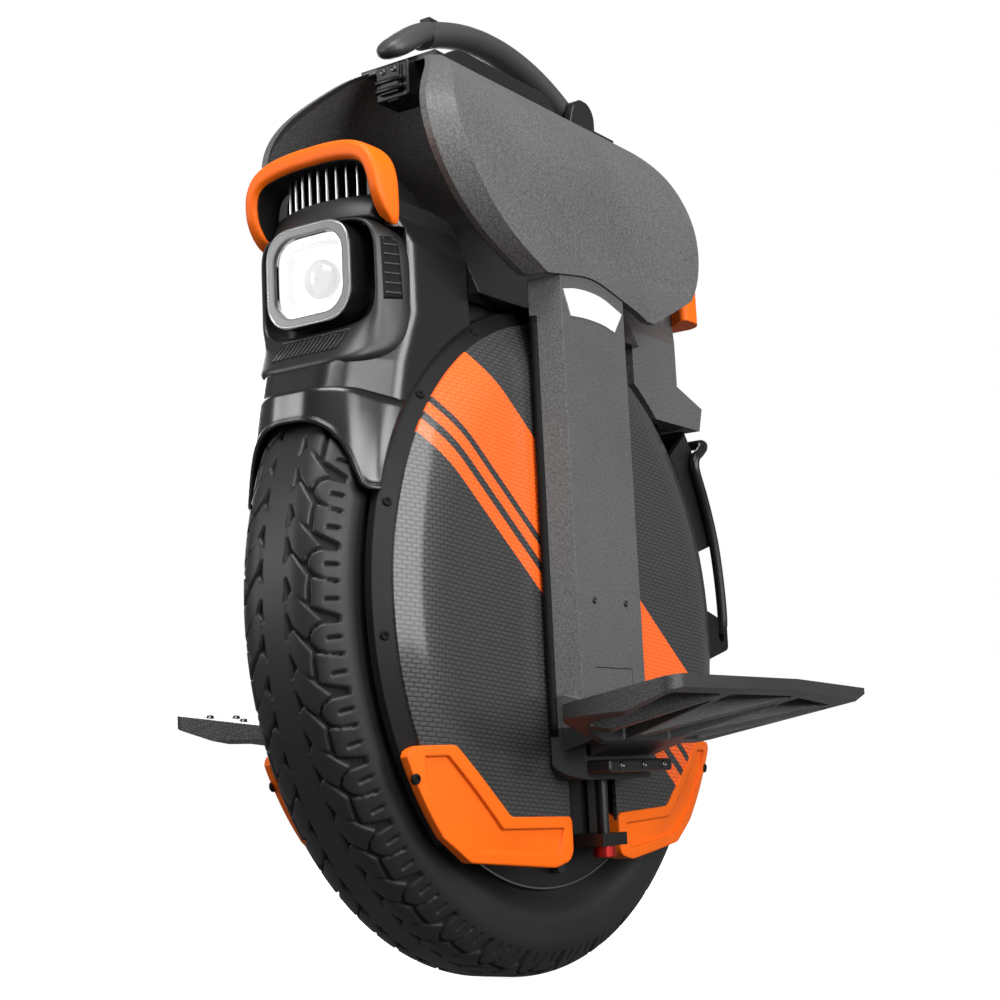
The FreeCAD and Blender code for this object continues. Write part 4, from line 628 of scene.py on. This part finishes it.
def tyre_mesh():
    run, xs, ys = rounded_profile(TYRE_CORNERS)
    tread = np.arange(0, TREAD_HALF + 1.0, TREAD_STEP)
    half = np.concatenate([tread, np.linspace(tread[-1] + WALL_START, run[-1], WALL_ROWS)])
    across = np.concatenate([-half[:0:-1], half])
    along = np.arange(TREAD_COLUMNS) * PITCH / TREAD_COLUMNS
    s, t = np.meshgrid(along, across, indexing="ij")
    x, r = np.interp(np.abs(t), run, xs), np.interp(np.abs(t), run, ys)
    nx = np.interp(np.abs(t), run, np.gradient(ys, run))
    nr = np.interp(np.abs(t), run, np.gradient(xs, run))
    length = np.hypot(nx, nr)
    drop = tread_drop(s, t)
    x = (x + drop * nx / length) * np.sign(t)
    r = r - drop * nr / length
    verts = []
    rows, total = len(across), TREAD_COLUMNS * PITCH_COUNT
    for pitch in range(PITCH_COUNT):
        angle = 2 * math.pi * (pitch + s / PITCH) / PITCH_COUNT
        block = np.stack([x, -r * np.cos(angle), r * np.sin(angle)], axis=2) * MM
        verts.append(block.reshape(-1, 3))
    verts = np.concatenate(verts) + np.array(AXLE)
    first = np.arange(total)[:, None] * rows + np.arange(rows - 1)[None, :]
    after = ((np.arange(total) + 1) % total)[:, None] * rows + np.arange(rows - 1)[None, :]
    quads = np.stack([first, first + 1, after + 1, after], axis=2).reshape(-1, 4)
    bead = np.stack([np.arange(total) * rows, ((np.arange(total) + 1) % total) * rows,
                     ((np.arange(total) + 1) % total) * rows + rows - 1,
                     np.arange(total) * rows + rows - 1], axis=1)
    faces = np.concatenate([quads, bead])
    mesh = bpy.data.meshes.new("tyre_with_tread")
    mesh.from_pydata(verts.tolist(), [], faces.tolist())
    # Groove depth, which the tyre's material turns into painted shade.
    depth = mesh.attributes.new("groove", "FLOAT", "POINT")
    depth.data.foreach_set("value", np.tile(drop.reshape(-1) / GROOVE_DEPTH, PITCH_COUNT))
    mesh.validate()
    return mesh


tyre = piece("tyre_with_tread", tyre_mesh(), "wheel", "tyre")
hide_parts("tyre")

# Sides, as mirror images: a sign across the width with the names of its bodies
SIDES = ((1, "left", "pedal_left"), (-1, "right", "pedal_right"))
SCREW = [(0.9, 0.4), (1.6, 0.4), (1.75, 1.5), (2.5, 1.35), (3.1, 0.8), (3.3, 0.0), (3.3, -0.8), (0.9, -0.8)]


def screw(place, axis, size=1.0):
    return lathe([(r * size, h * size) for r, h in SCREW], place, axis, 18)


# Screws in the edge rings, the guards and the legs
RING_SCREW_RADIUS = 198.0
RING_SCREW_ANGLES = (16.5, -6.4, 39.4, 62.3, 117.7, 140.6, 163.5, 186.4)
GUARD_SCREWS = ((-176.0, 129.0), (176.0, 129.0))
LEG_SCREWS = ((-20.0, 238.0), (20.0, 238.0))
LEG_LINES = (((-23, 195.3), (24, 195.3), (24, 194.7), (-23, 194.7)),
             ((23.4, 195), (24, 195), (24, 184), (23.4, 184)))
# Corners of a strip of painted shade on the leg's front-facing side face, as x and z.
LEG_PAINTED_SHADE = ((67.3, 152), (71.5, 152), (71.5, 424), (67.3, 424))
REARWARD = (0, 1, 0)
for sign, side, _ in SIDES:
    inward = (-sign, 0, 0)
    heads = []
    ring = skin(side + "_edge_ring")
    for angle in map(math.radians, RING_SCREW_ANGLES):
        y, z = -RING_SCREW_RADIUS * math.cos(angle), AXLE_HEIGHT + RING_SCREW_RADIUS * math.sin(angle)
        heads.append(screw(*seat(ring, (sign * CAST_REACH, y, z), inward), 0.9))
    for (y, z), where in zip(GUARD_SCREWS, ("front", "rear")):
        heads.append(screw(*seat(skin(f"{side}_{where}_guard"), (sign * CAST_REACH, y, z), inward)))
    piece(side + "_body_screws", gather(heads), "chassis", "deep_black", VENT_BLACK)
    leg = skin(side + "_leg")
    heads = [screw(*seat(leg, (sign * CAST_REACH, y, z), inward), 0.7) for y, z in LEG_SCREWS]
    piece(side + "_leg_screws", gather(heads), "outer_frame", "deep_black")
    strips = [pad(leg, inward, quad, 0.08, (8, 2), 0.3) for quad in LEG_LINES]
    # A near-black strip on the leg's front-facing side face: painted shade where that face lies in shadow.
    painted_front_shade = pad(leg, REARWARD, [(sign * x, z) for x, z in LEG_PAINTED_SHADE], 0.7, (2, 30))
    piece(side + "_leg_painted_shade", painted_front_shade, "outer_frame", "deep_black", VENT_BLACK)
    piece(side + "_leg_panel_line", gather(strips), "outer_frame", "deep_black", smooth=False)

# Bare plates at the top of the legs, curved along the hoods' lower edge
BADGE_TOP = [(-38, 441.4), (-22, 444.4), (-4, 445.4), (14, 444.0), (37, 438.0)]
BADGE_FOOT = [(-30, 424.6), (-16, 425.8), (-2, 426.2), (12, 425.6), (26, 423.4)]
BADGE_ROWS = 5
plates = []
for sign, side, _ in SIDES:
    grid = []
    for top, foot in zip(smooth_line(BADGE_TOP, 5), smooth_line(BADGE_FOOT, 5)):
        grid.append([top + (foot - top) * i / BADGE_ROWS for i in range(BADGE_ROWS + 1)])
    plates.append(laid(skin(side + "_leg"), (-sign, 0, 0), grid, 0.6))
badge = piece("curved_plates", gather(plates), "outer_frame", "silver_plate", smooth=False)
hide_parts("badge_plates")

# Kickstand: a bowed bar on both sides joined by a cross bar
STAND_LINE = [(43, 222, 232.5), (50, 222, 232.5), (53.4, 222, 236), (54.4, 219.8, 262), (54.8, 213.6, 297),
              (54.8, 202.6, 328), (54.8, 192.6, 348), (54.8, 190.4, 356), (54.8, 193, 362.4),
              (54.6, 200, 366.6), (54, 207, 371.4), (51, 210.6, 374.8), (42, 210.8, 375.1), (0, 210.8, 375.1)]
STAND_RADIUS = 3.8
line = smooth_line(STAND_LINE + [(-x, y, z) for x, y, z in STAND_LINE[-2::-1]], 4)
stand = piece("bowed_kickstand", tube(line, STAND_RADIUS), "stand", "black_alloy")
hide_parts("kickstand")

# Bolted brackets below the pedal hinges
BRACKET_IN, BRACKET_OUT, BRACKET_HALF = 81, 103, 40
BRACKET_LOW, BRACKET_HIGH = 128, 136
BRACKET_BOLTS = (-26, 2, 28)
for sign, side, _ in SIDES:
    near, far = sorted((sign * BRACKET_IN, sign * BRACKET_OUT))
    block = slab((near, -BRACKET_HALF, BRACKET_LOW), (far, BRACKET_HALF, BRACKET_HIGH), 2.0)
    middle = (BRACKET_LOW + BRACKET_HIGH) / 2
    bolts = [screw(Vector((sign * BRACKET_OUT, y, middle)) * MM, (sign, 0, 0), 0.8) for y in BRACKET_BOLTS]
    piece(side + "_hinge_bracket", block, "outer_frame", "deep_black", smooth=False)
    piece(side + "_bracket_bolts", gather(bolts), "outer_frame", "steel")

# Grip studs on the pedals
STUD = [(0.6, 0.9), (1.2, 0.9), (1.4, 2.0), (2.1, 1.8), (2.5, 0.6), (3.2, 0.0), (3.2, -0.6), (0.6, -0.6)]
STUD_ROWS = ((128, -84, 48), (152, -92, 96), (177, -98, 60))
STUD_COUNT = 7
for sign, side, body in SIDES:
    deck = skin(side + "_pedal")
    pins = []
    for x, front, rear in STUD_ROWS:
        for i in range(STUD_COUNT):
            y = front + (rear - front) * i / (STUD_COUNT - 1)
            pins.append(lathe(STUD, *seat(deck, (sign * x, y, CAST_REACH), (0, 0, -1)), 12))
    piece(side + "_pedal_studs", gather(pins), body, "steel")

# Heat sink: a dark plate, standing fins on a bow and their bright milled edges
FIN_COUNT = 9
FIN_BOW, FIN_SET_BACK, FIN_MARGIN = 6.0, 5.4, 2.0
FIN_HALF, FIN_EDGE_HALF, FIN_EDGE_DEPTH = 0.5, 0.95, 1.6
SINK_BACK = 13.4
low, high = (Vector(corner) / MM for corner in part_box("heat_sink"))
FIN_PITCH = (high.x - low.x - 2 * FIN_MARGIN) / (FIN_COUNT - 1)
back = slab((low.x, low.y + SINK_BACK, low.z), high, 0.5)
fins, edges = [], []
for i in range(FIN_COUNT):
    x = low.x + FIN_MARGIN + i * FIN_PITCH
    front = low.y + FIN_SET_BACK + FIN_BOW * (x / high.x) ** 2
    fins.append(slab((x - FIN_HALF, front + 1, low.z), (x + FIN_HALF, low.y + SINK_BACK + 0.6, high.z), 0.2))
    rear = front + FIN_EDGE_DEPTH
    edges.append(slab((x - FIN_EDGE_HALF, front, low.z), (x + FIN_EDGE_HALF, rear, high.z), 0.4))
sink = piece("sink_plate", back, "chassis", "deep_black", VENT_BLACK, smooth=False)
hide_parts("heat_sink")
piece("sink_fins", gather(fins), "chassis", "deep_black", VENT_BLACK, smooth=False)
piece("sink_fin_edges", gather(edges), "chassis", "bare_alloy")

# Trim band over the headlight, bowed forward and leaning back
BAND_SECTION = [(-187.5, 466.6), (-189.2, 467.2), (-189.4, 468.6), (-181.8, 482.6), (-180.6, 483.6),
                (-172.0, 483.6), (-172.0, 466.6)]
BAND_HALF, BAND_BOW, BAND_STEPS = 40.0, 11.0, 32
rings = []
for i in range(BAND_STEPS + 1):
    share = 2 * i / BAND_STEPS - 1
    rings.append([(share * BAND_HALF, y + BAND_BOW * share * share, z) for y, z in BAND_SECTION])
band = piece("bowed_trim_band", skinned(rings), "chassis", "body_black", MASK_BLACK)
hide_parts("grille_trim")

# Handle cap: a rounded bill on the front of the trolley handle, as y, z, half width and half height
CAP_LINE = [(-60, 634.2, 10.6, 7.2), (-70, 629.2, 11.4, 7.6), (-80, 622.8, 11.9, 7.6),
            (-90, 615.9, 12.0, 7.4), (-98, 610.8, 11.0, 6.6), (-103.4, 607.9, 8.6, 4.8),
            (-106.4, 606.4, 4.4, 2.2), (-107.2, 606.0, 0.6, 0.3)]
line = smooth_line(CAP_LINE, 5)
rings = []
for i, (y, z, half, tall) in enumerate(line):
    before, after = line[max(i - 1, 0)], line[min(i + 1, len(line) - 1)]
    along = Vector((0, after[0] - before[0], after[1] - before[1])).normalized()
    rise = Vector((0, along.z, -along.y))
    rings.append([Vector((half * across, y, z)) + rise * tall * up for across, up in oval(2.6, 32)])
cap = piece("rounded_handle_cap", skinned(rings), "trolley", "satin_grey", HANDLE_GREY)
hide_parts("handle_cap")

# Latch under the handle's front foot: body, clip plate, two cross bars, foot and screws
CLIP_BAR = [(0.4, -11), (1.6, -11), (1.9, -10.4), (1.9, 10.4), (1.6, 11), (0.4, 11)]
CLIP_BAR_RISES = (6, 12)
CLIP_HALF, FOOT_HALF = 8, 5
LATCH_SCREWS = (-4.5, 4.5)
low, high = (Vector(corner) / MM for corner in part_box("latch_block"))
front = low.y
body = [slab((low.x + 1, front + 4, low.z), high, 1.6),
        slab((-CLIP_HALF, front + 1, low.z + 3), (CLIP_HALF, front + 6, high.z - 2), 1.0),
        slab((-FOOT_HALF, front + 5, low.z - 1), (FOOT_HALF, front + 12, low.z + 2), 1.0)]
bars = []
for rise in CLIP_BAR_RISES:
    bars.append(lathe(CLIP_BAR, Vector((0, front + 1.5, low.z + rise)) * MM, (1, 0, 0), 16))
heads = [screw(Vector((x, front + 1, high.z - 6)) * MM, (0, -1, 0), 0.7) for x in LATCH_SCREWS]
latch = piece("detailed_latch", gather(body), "outer_frame", "deep_black", smooth=False)
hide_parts("latch_block")
piece("latch_bars", gather(bars), "outer_frame", "black_alloy")
piece("latch_screws", gather(heads), "outer_frame", "steel")

# Polished lines on both edges of the rim
RIM_LINE = [(30.2, 176.4), (31.2, 176.4), (31.4, 177.0), (31.2, 177.8), (30.2, 177.8)]
RIM_STEPS = 144
lines = []
for sign in (1, -1):
    rings = []
    for i in range(RIM_STEPS):
        angle = 2 * math.pi * i / RIM_STEPS
        c, s = math.cos(angle), math.sin(angle)
        rings.append([(sign * x, r * c, AXLE_HEIGHT + r * s) for x, r in RIM_LINE])
    lines.append(skinned(rings, closed=True))
piece("rim_edge_lines", gather(lines), "wheel", "bare_alloy")

# Lamp pod: a mask round the headlight with a recess, flanks and a chin, as loops of rounded outline
POD_LOOPS = [(42.0, 399.0, 466.0, -166.0, -166.0, -166.0), (43.0, 400.0, 466.0, -182.0, -186.0, -186.5),
             (44.2, 399.0, 466.6, -183.6, -187.0, -188.0), (45.6, 397.4, 467.2, -183.0, -187.0, -189.4),
             (47.5, 391.0, 467.6, -176.0, -186.0, -193.0), (49.6, 380.0, 468.0, -166.0, -184.0, -201.0),
             (50.2, 376.0, 468.0, -162.0, -182.0, -203.6), (50.2, 373.6, 467.0, -158.0, -175.0, -202.0),
             (49.6, 373.0, 466.0, -154.0, -162.0, -188.0)]
POD_POWER = 5.0


def rounded_loop(half, low, high, power, depth, count=72):
    """A rounded four-sided outline facing forward; depth gives its Y place from how far up it is."""
    middle, tall = (low + high) / 2, (high - low) / 2
    return [(half * across, depth(math.copysign(abs(up) ** (power / 2), up)), middle + tall * up)
            for across, up in oval(power, count)]


def pod_depth(side, top, bottom):
    return lambda v: side + ((top if v > 0 else bottom) - side) * abs(v) ** 1.6


form = skinned([rounded_loop(half, low, high, POD_POWER, pod_depth(*depths))
                for half, low, high, *depths in POD_LOOPS])
mask_skin = BVHTree.FromBMesh(form)
mask = piece("lamp_mask", form, "chassis", "body_black", MASK_BLACK)
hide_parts("light_pod")
CHIN_GRILL = ((-24, 396), (28, 396), (24, 384), (-28, 384))
CHIN_RIB = ((0, 395.6), (0.9, 395.6), (-3.1, 384.4), (-4, 384.4))
CHIN_RIB_FIRST, CHIN_RIB_PITCH, CHIN_RIB_COUNT = -22.5, 3.4, 15
CHIN_DOT = ((0, 397.4), (0.8, 397.4), (0.8, 396.8), (0, 396.8))
CHIN_DOT_FIRST, CHIN_DOT_LAST, CHIN_DOT_COUNT = -24, 27, 24
VENT_RECESS = ((-179, 414), (-164, 416), (-166, 455), (-180, 453))
VENT_SLAT = ((-178, 0), (-166, 1), (-166, 2), (-178, 1))
VENT_FIRST, VENT_PITCH, VENT_COUNT = 418, 6.0, 6
grill = pad(mask_skin, REARWARD, CHIN_GRILL, 0.05, (16, 6))
piece("chin_grill", grill, "chassis", "deep_black", VENT_BLACK)
ribs = []
for i in range(CHIN_RIB_COUNT):
    x = CHIN_RIB_FIRST + CHIN_RIB_PITCH * i
    ribs.append(pad(mask_skin, REARWARD, [(x + a, z) for a, z in CHIN_RIB], 0.5, (1, 5)))
piece("chin_ribs", gather(ribs), "chassis", "body_black", smooth=False)
dots = []
for x in np.linspace(CHIN_DOT_FIRST, CHIN_DOT_LAST, CHIN_DOT_COUNT):
    dots.append(pad(mask_skin, REARWARD, [(x + a, z) for a, z in CHIN_DOT], 0.1, (1, 1)))
piece("chin_dots", gather(dots), "chassis", "bare_alloy", smooth=False)
for sign, side, _ in SIDES:
    inward = (-sign, 0, 0)
    recess = pad(mask_skin, inward, VENT_RECESS, 0.05, (8, 12))
    piece(side + "_mask_recess", recess, "chassis", "deep_black", VENT_BLACK)
    slats = []
    for i in range(VENT_COUNT):
        rise = VENT_FIRST + VENT_PITCH * i
        slats.append(pad(mask_skin, inward, [(y, rise + z) for y, z in VENT_SLAT], 0.6, (5, 2)))
    piece(side + "_mask_vents", gather(slats), "chassis", "deep_black", smooth=False)

# Headlight: a bowl behind the daylight ring and a round projector lens in it; the bowl and its wall glow with
# painted light that fades across them to painted shade
low, high = (Vector(corner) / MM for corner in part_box("daylight_ring"))
middle, rear = (low.z + high.z) / 2, high.y
RING_LOOPS = [(26.9, 25.4, 4.0, 0.0), (26.9, 25.4, 4.0, -1.9), (23.6, 22.2, 4.0, -1.9),
              (23.4, 22.0, 4.0, 0.0)]
WALL_LOOPS = [(26.0, 24.5, 4.0, 7.4), (26.0, 24.5, 4.0, 0.2), (23.3, 21.9, 4.0, 0.2), (21.4, 20.0, 4.0, 7.4)]
BOWL_LOOPS = [(25.0, 23.5, 4.0, 11.4), (25.0, 23.5, 4.0, 6.6), (20.8, 19.4, 4.0, 6.6), (17.8, 17.0, 3.0, 8.6),
              (13.6, 13.6, 2.0, 10.4), (11.0, 11.0, 2.0, 10.9)]
RIM_LOOPS = [(32.9, 31.4, 4.0, -7.7), (32.6, 31.1, 4.0, -8.2), (31.9, 30.4, 4.0, -8.2),
             (31.6, 30.1, 4.0, -7.7)]


def lamp_form(loops, closed=False):
    return skinned([rounded_loop(wide, middle - tall, middle + tall, power, lambda up, y=rear + deep: y)
                    for wide, tall, power, deep in loops], closed)


glow = piece("slim_daylight_ring", lamp_form(RING_LOOPS, True), "chassis", "white_light")
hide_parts("daylight_ring")
# A bright bare metal line on the housing's rim: a painted highlight along the bezel's edge.
piece("housing_rim_painted_highlight", lamp_form(RIM_LOOPS, True), "chassis", "bare_alloy")
# Painted light: the wall and the bowl glow in place of the light they would catch, and the glow fades across
# them as painted shade.
piece("headlight_wall", lamp_form(WALL_LOOPS, True), "chassis", "reflector", LAMP_WALL_PAINTED_LIGHT)
bowl = piece("headlight_bowl", lamp_form(BOWL_LOOPS), "chassis", "reflector")
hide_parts("headlight_reflector")
PROJECTOR = [(0.3, 5.0), (3.5, 4.7), (7.0, 3.7), (10.0, 2.1), (12.2, 0.0), (12.8, -1.2), (12.8, -5.4),
             (0.3, -5.4)]
PROJECTOR_SIDE, PROJECTOR_BACK = -1.0, 5.0
lens = lathe(PROJECTOR, Vector((PROJECTOR_SIDE, rear + PROJECTOR_BACK, middle)) * MM, (0, -1, 0), 40)
piece("projector_lens", lens, "chassis", "clear", PROJECTOR_GLASS)

# Front bumper: a deep hoop and its dark lining, as x, z, half width and front of half its line
HOOP_LINE = [(46.6, 463.4, 2.6, -172.0), (47.6, 465.2, 4.2, -176.0), (48.5, 470.0, 4.4, -182.4),
             (48.9, 479.0, 4.4, -188.0), (48.3, 490.0, 4.5, -190.4), (45.6, 499.0, 5.0, -191.2),
             (39.8, 505.4, 5.8, -191.2), (29.0, 509.6, 6.4, -190.6), (14.0, 511.6, 6.5, -190.2),
             (0.0, 511.9, 6.5, -190.0)]
HOOP_BACK, HOOP_LEAST = -166.5, 0.4
HOOP_POWER, HOOP_SIDES, HOOP_STEPS = 4.2, 32, 6
LINING_SINK, LINING_HALF = 3.5, 0.9


def hoop(line, sink, inset, half_share, half_extra):
    """Rings of a band along a line: set back by a depth and moved inwards by an inset off its inner face."""
    line = smooth_line(line + [(-x, z, w, y) for x, z, w, y in line[-2::-1]], HOOP_STEPS)
    rings = []
    for i, (x, z, half, front) in enumerate(line):
        before, after = line[max(i - 1, 0)], line[min(i + 1, len(line) - 1)]
        along = Vector((after[0] - before[0], 0, after[1] - before[1])).normalized()
        across = Vector((-along.z, 0, along.x))
        near = min(front + sink, HOOP_BACK - HOOP_LEAST)
        middle = Vector((x, (HOOP_BACK + near) / 2, z)) + across * half * inset
        wide, deep = half * half_share + half_extra, (HOOP_BACK - near) / 2
        rings.append([middle + across * wide * out + Vector((0, deep * back, 0))
                      for out, back in oval(HOOP_POWER, HOOP_SIDES)])
    return rings


bumper = piece("soft_front_bumper", skinned(hoop(HOOP_LINE, 0, 0, 1, 0)), "chassis", "orange")
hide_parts("front_bumper")
lining = skinned(hoop(HOOP_LINE, LINING_SINK, 1.0, 0, LINING_HALF))
piece("bumper_lining", lining, "chassis", "deep_black", VENT_BLACK)

# Front fender: a rounded shell with an arched mouth and flared flanks, as half plans at its top and its foot
FENDER_FOOT, FENDER_WALL = 297.0, 3.4
FENDER_TOP = [(0, 359.5), (30, 359.2), (38, 358.4), (51, 353)]
TOP_PLAN = [(0, -212.8), (13.8, -212.6), (27, -207.4), (35.6, -200.2), (41.8, -189.4), (47.6, -177.6),
            (50.6, -165.0)]
FOOT_PLAN = [(0, -222), (14, -221.6), (27, -217), (37, -209.4), (43, -202.8), (47.5, -197.2), (50, -193.4)]
MOUTH = [(0, 341.5), (10, 341), (20, 338.4), (28, 333), (34, 325), (38, 316), (41, 306), (43, 300),
         (45.5, 297.6), (51, 297)]
FENDER_PEAK = FENDER_TOP[0][1]
RING_CLEAR = 204.4
FLANK_HALF = 50
MOUTH_ROWS, MOUTH_ROUNDS = 10, 12
MOUTH_BEAD = 1.5


def fender_columns():
    """Outer places down each column of the fender, from one flank to the other."""
    half_top, half_foot = smooth_line(TOP_PLAN, 5), smooth_line(FOOT_PLAN, 5)
    pairs = [(a * (-1, 1), b * (-1, 1)) for a, b in zip(half_top[:0:-1], half_foot[:0:-1])]
    pairs += zip(half_top, half_foot)
    columns = []
    for top, foot in pairs:
        high = np.interp(abs(top[0]), [p[0] for p in FENDER_TOP], [p[1] for p in FENDER_TOP])
        low = MOUTH[0][1]
        for _ in range(MOUTH_ROUNDS):
            share = (FENDER_PEAK - low) / (FENDER_PEAK - FENDER_FOOT)
            x = abs(top[0] + (foot[0] - top[0]) * share)
            low = np.interp(x, [m[0] for m in MOUTH], [m[1] for m in MOUTH])
        column = []
        for z in np.linspace(high, low, MOUTH_ROWS + 1):
            share = (FENDER_PEAK - z) / (FENDER_PEAK - FENDER_FOOT)
            x, y = top + (foot - top) * share
            straight = TOP_PLAN[-1][1] + (FOOT_PLAN[-1][1] - TOP_PLAN[-1][1]) * share
            arc = -math.sqrt(RING_CLEAR ** 2 - (z - AXLE_HEIGHT) ** 2)
            column.append(Vector((x, y + (arc - straight) * (abs(x) / FLANK_HALF) ** 4, z)))
        columns.append(column)
    return columns


columns = fender_columns()
inner = []
for i, column in enumerate(columns):
    before, after = columns[max(i - 1, 0)], columns[min(i + 1, len(columns) - 1)]
    for place, a, b in zip(column, before, after):
        run = Vector((b.x - a.x, b.y - a.y, 0)).normalized()
        inner.append((place + Vector((-run.y, run.x, 0)) * FENDER_WALL) * MM)
outer = [place * MM for column in columns for place in column]
shell = plate(outer, inner, (len(columns) - 1, MOUTH_ROWS))
bead = []
line = [column[-1] for column in columns]
for i, place in enumerate(line):
    along = (line[min(i + 1, len(line) - 1)] - line[max(i - 1, 0)]).normalized()
    side = along.cross(Vector((0, 1, 0))).normalized()
    up = side.cross(along)
    middle = place + Vector((0, MOUTH_BEAD * 0.6, 0))
    bead.append([middle + (side * a + up * b) * MOUTH_BEAD for a, b in oval(2, 12)])
fender = piece("arched_fender", gather([shell, skinned(bead)]), "chassis", "body_black")
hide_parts("front_fender")

place_camera()
set_world()
set_floor()
lamp("key", 26, 57, 2.4, (1.5, 1.5), 72)
lamp("band", 68, 12, 2.1, (0.8, 1.2), 31)
lamp("side", 102, 14, 2.2, (0.8, 1.3), 26)
lamp("rear", 230, 24, 2.6, (1.8, 1.4), 44)
lamp("far_side", -42, 15, 2.4, (0.7, 1.1), 18)
bpy.context.scene.view_settings.view_transform = "Standard"
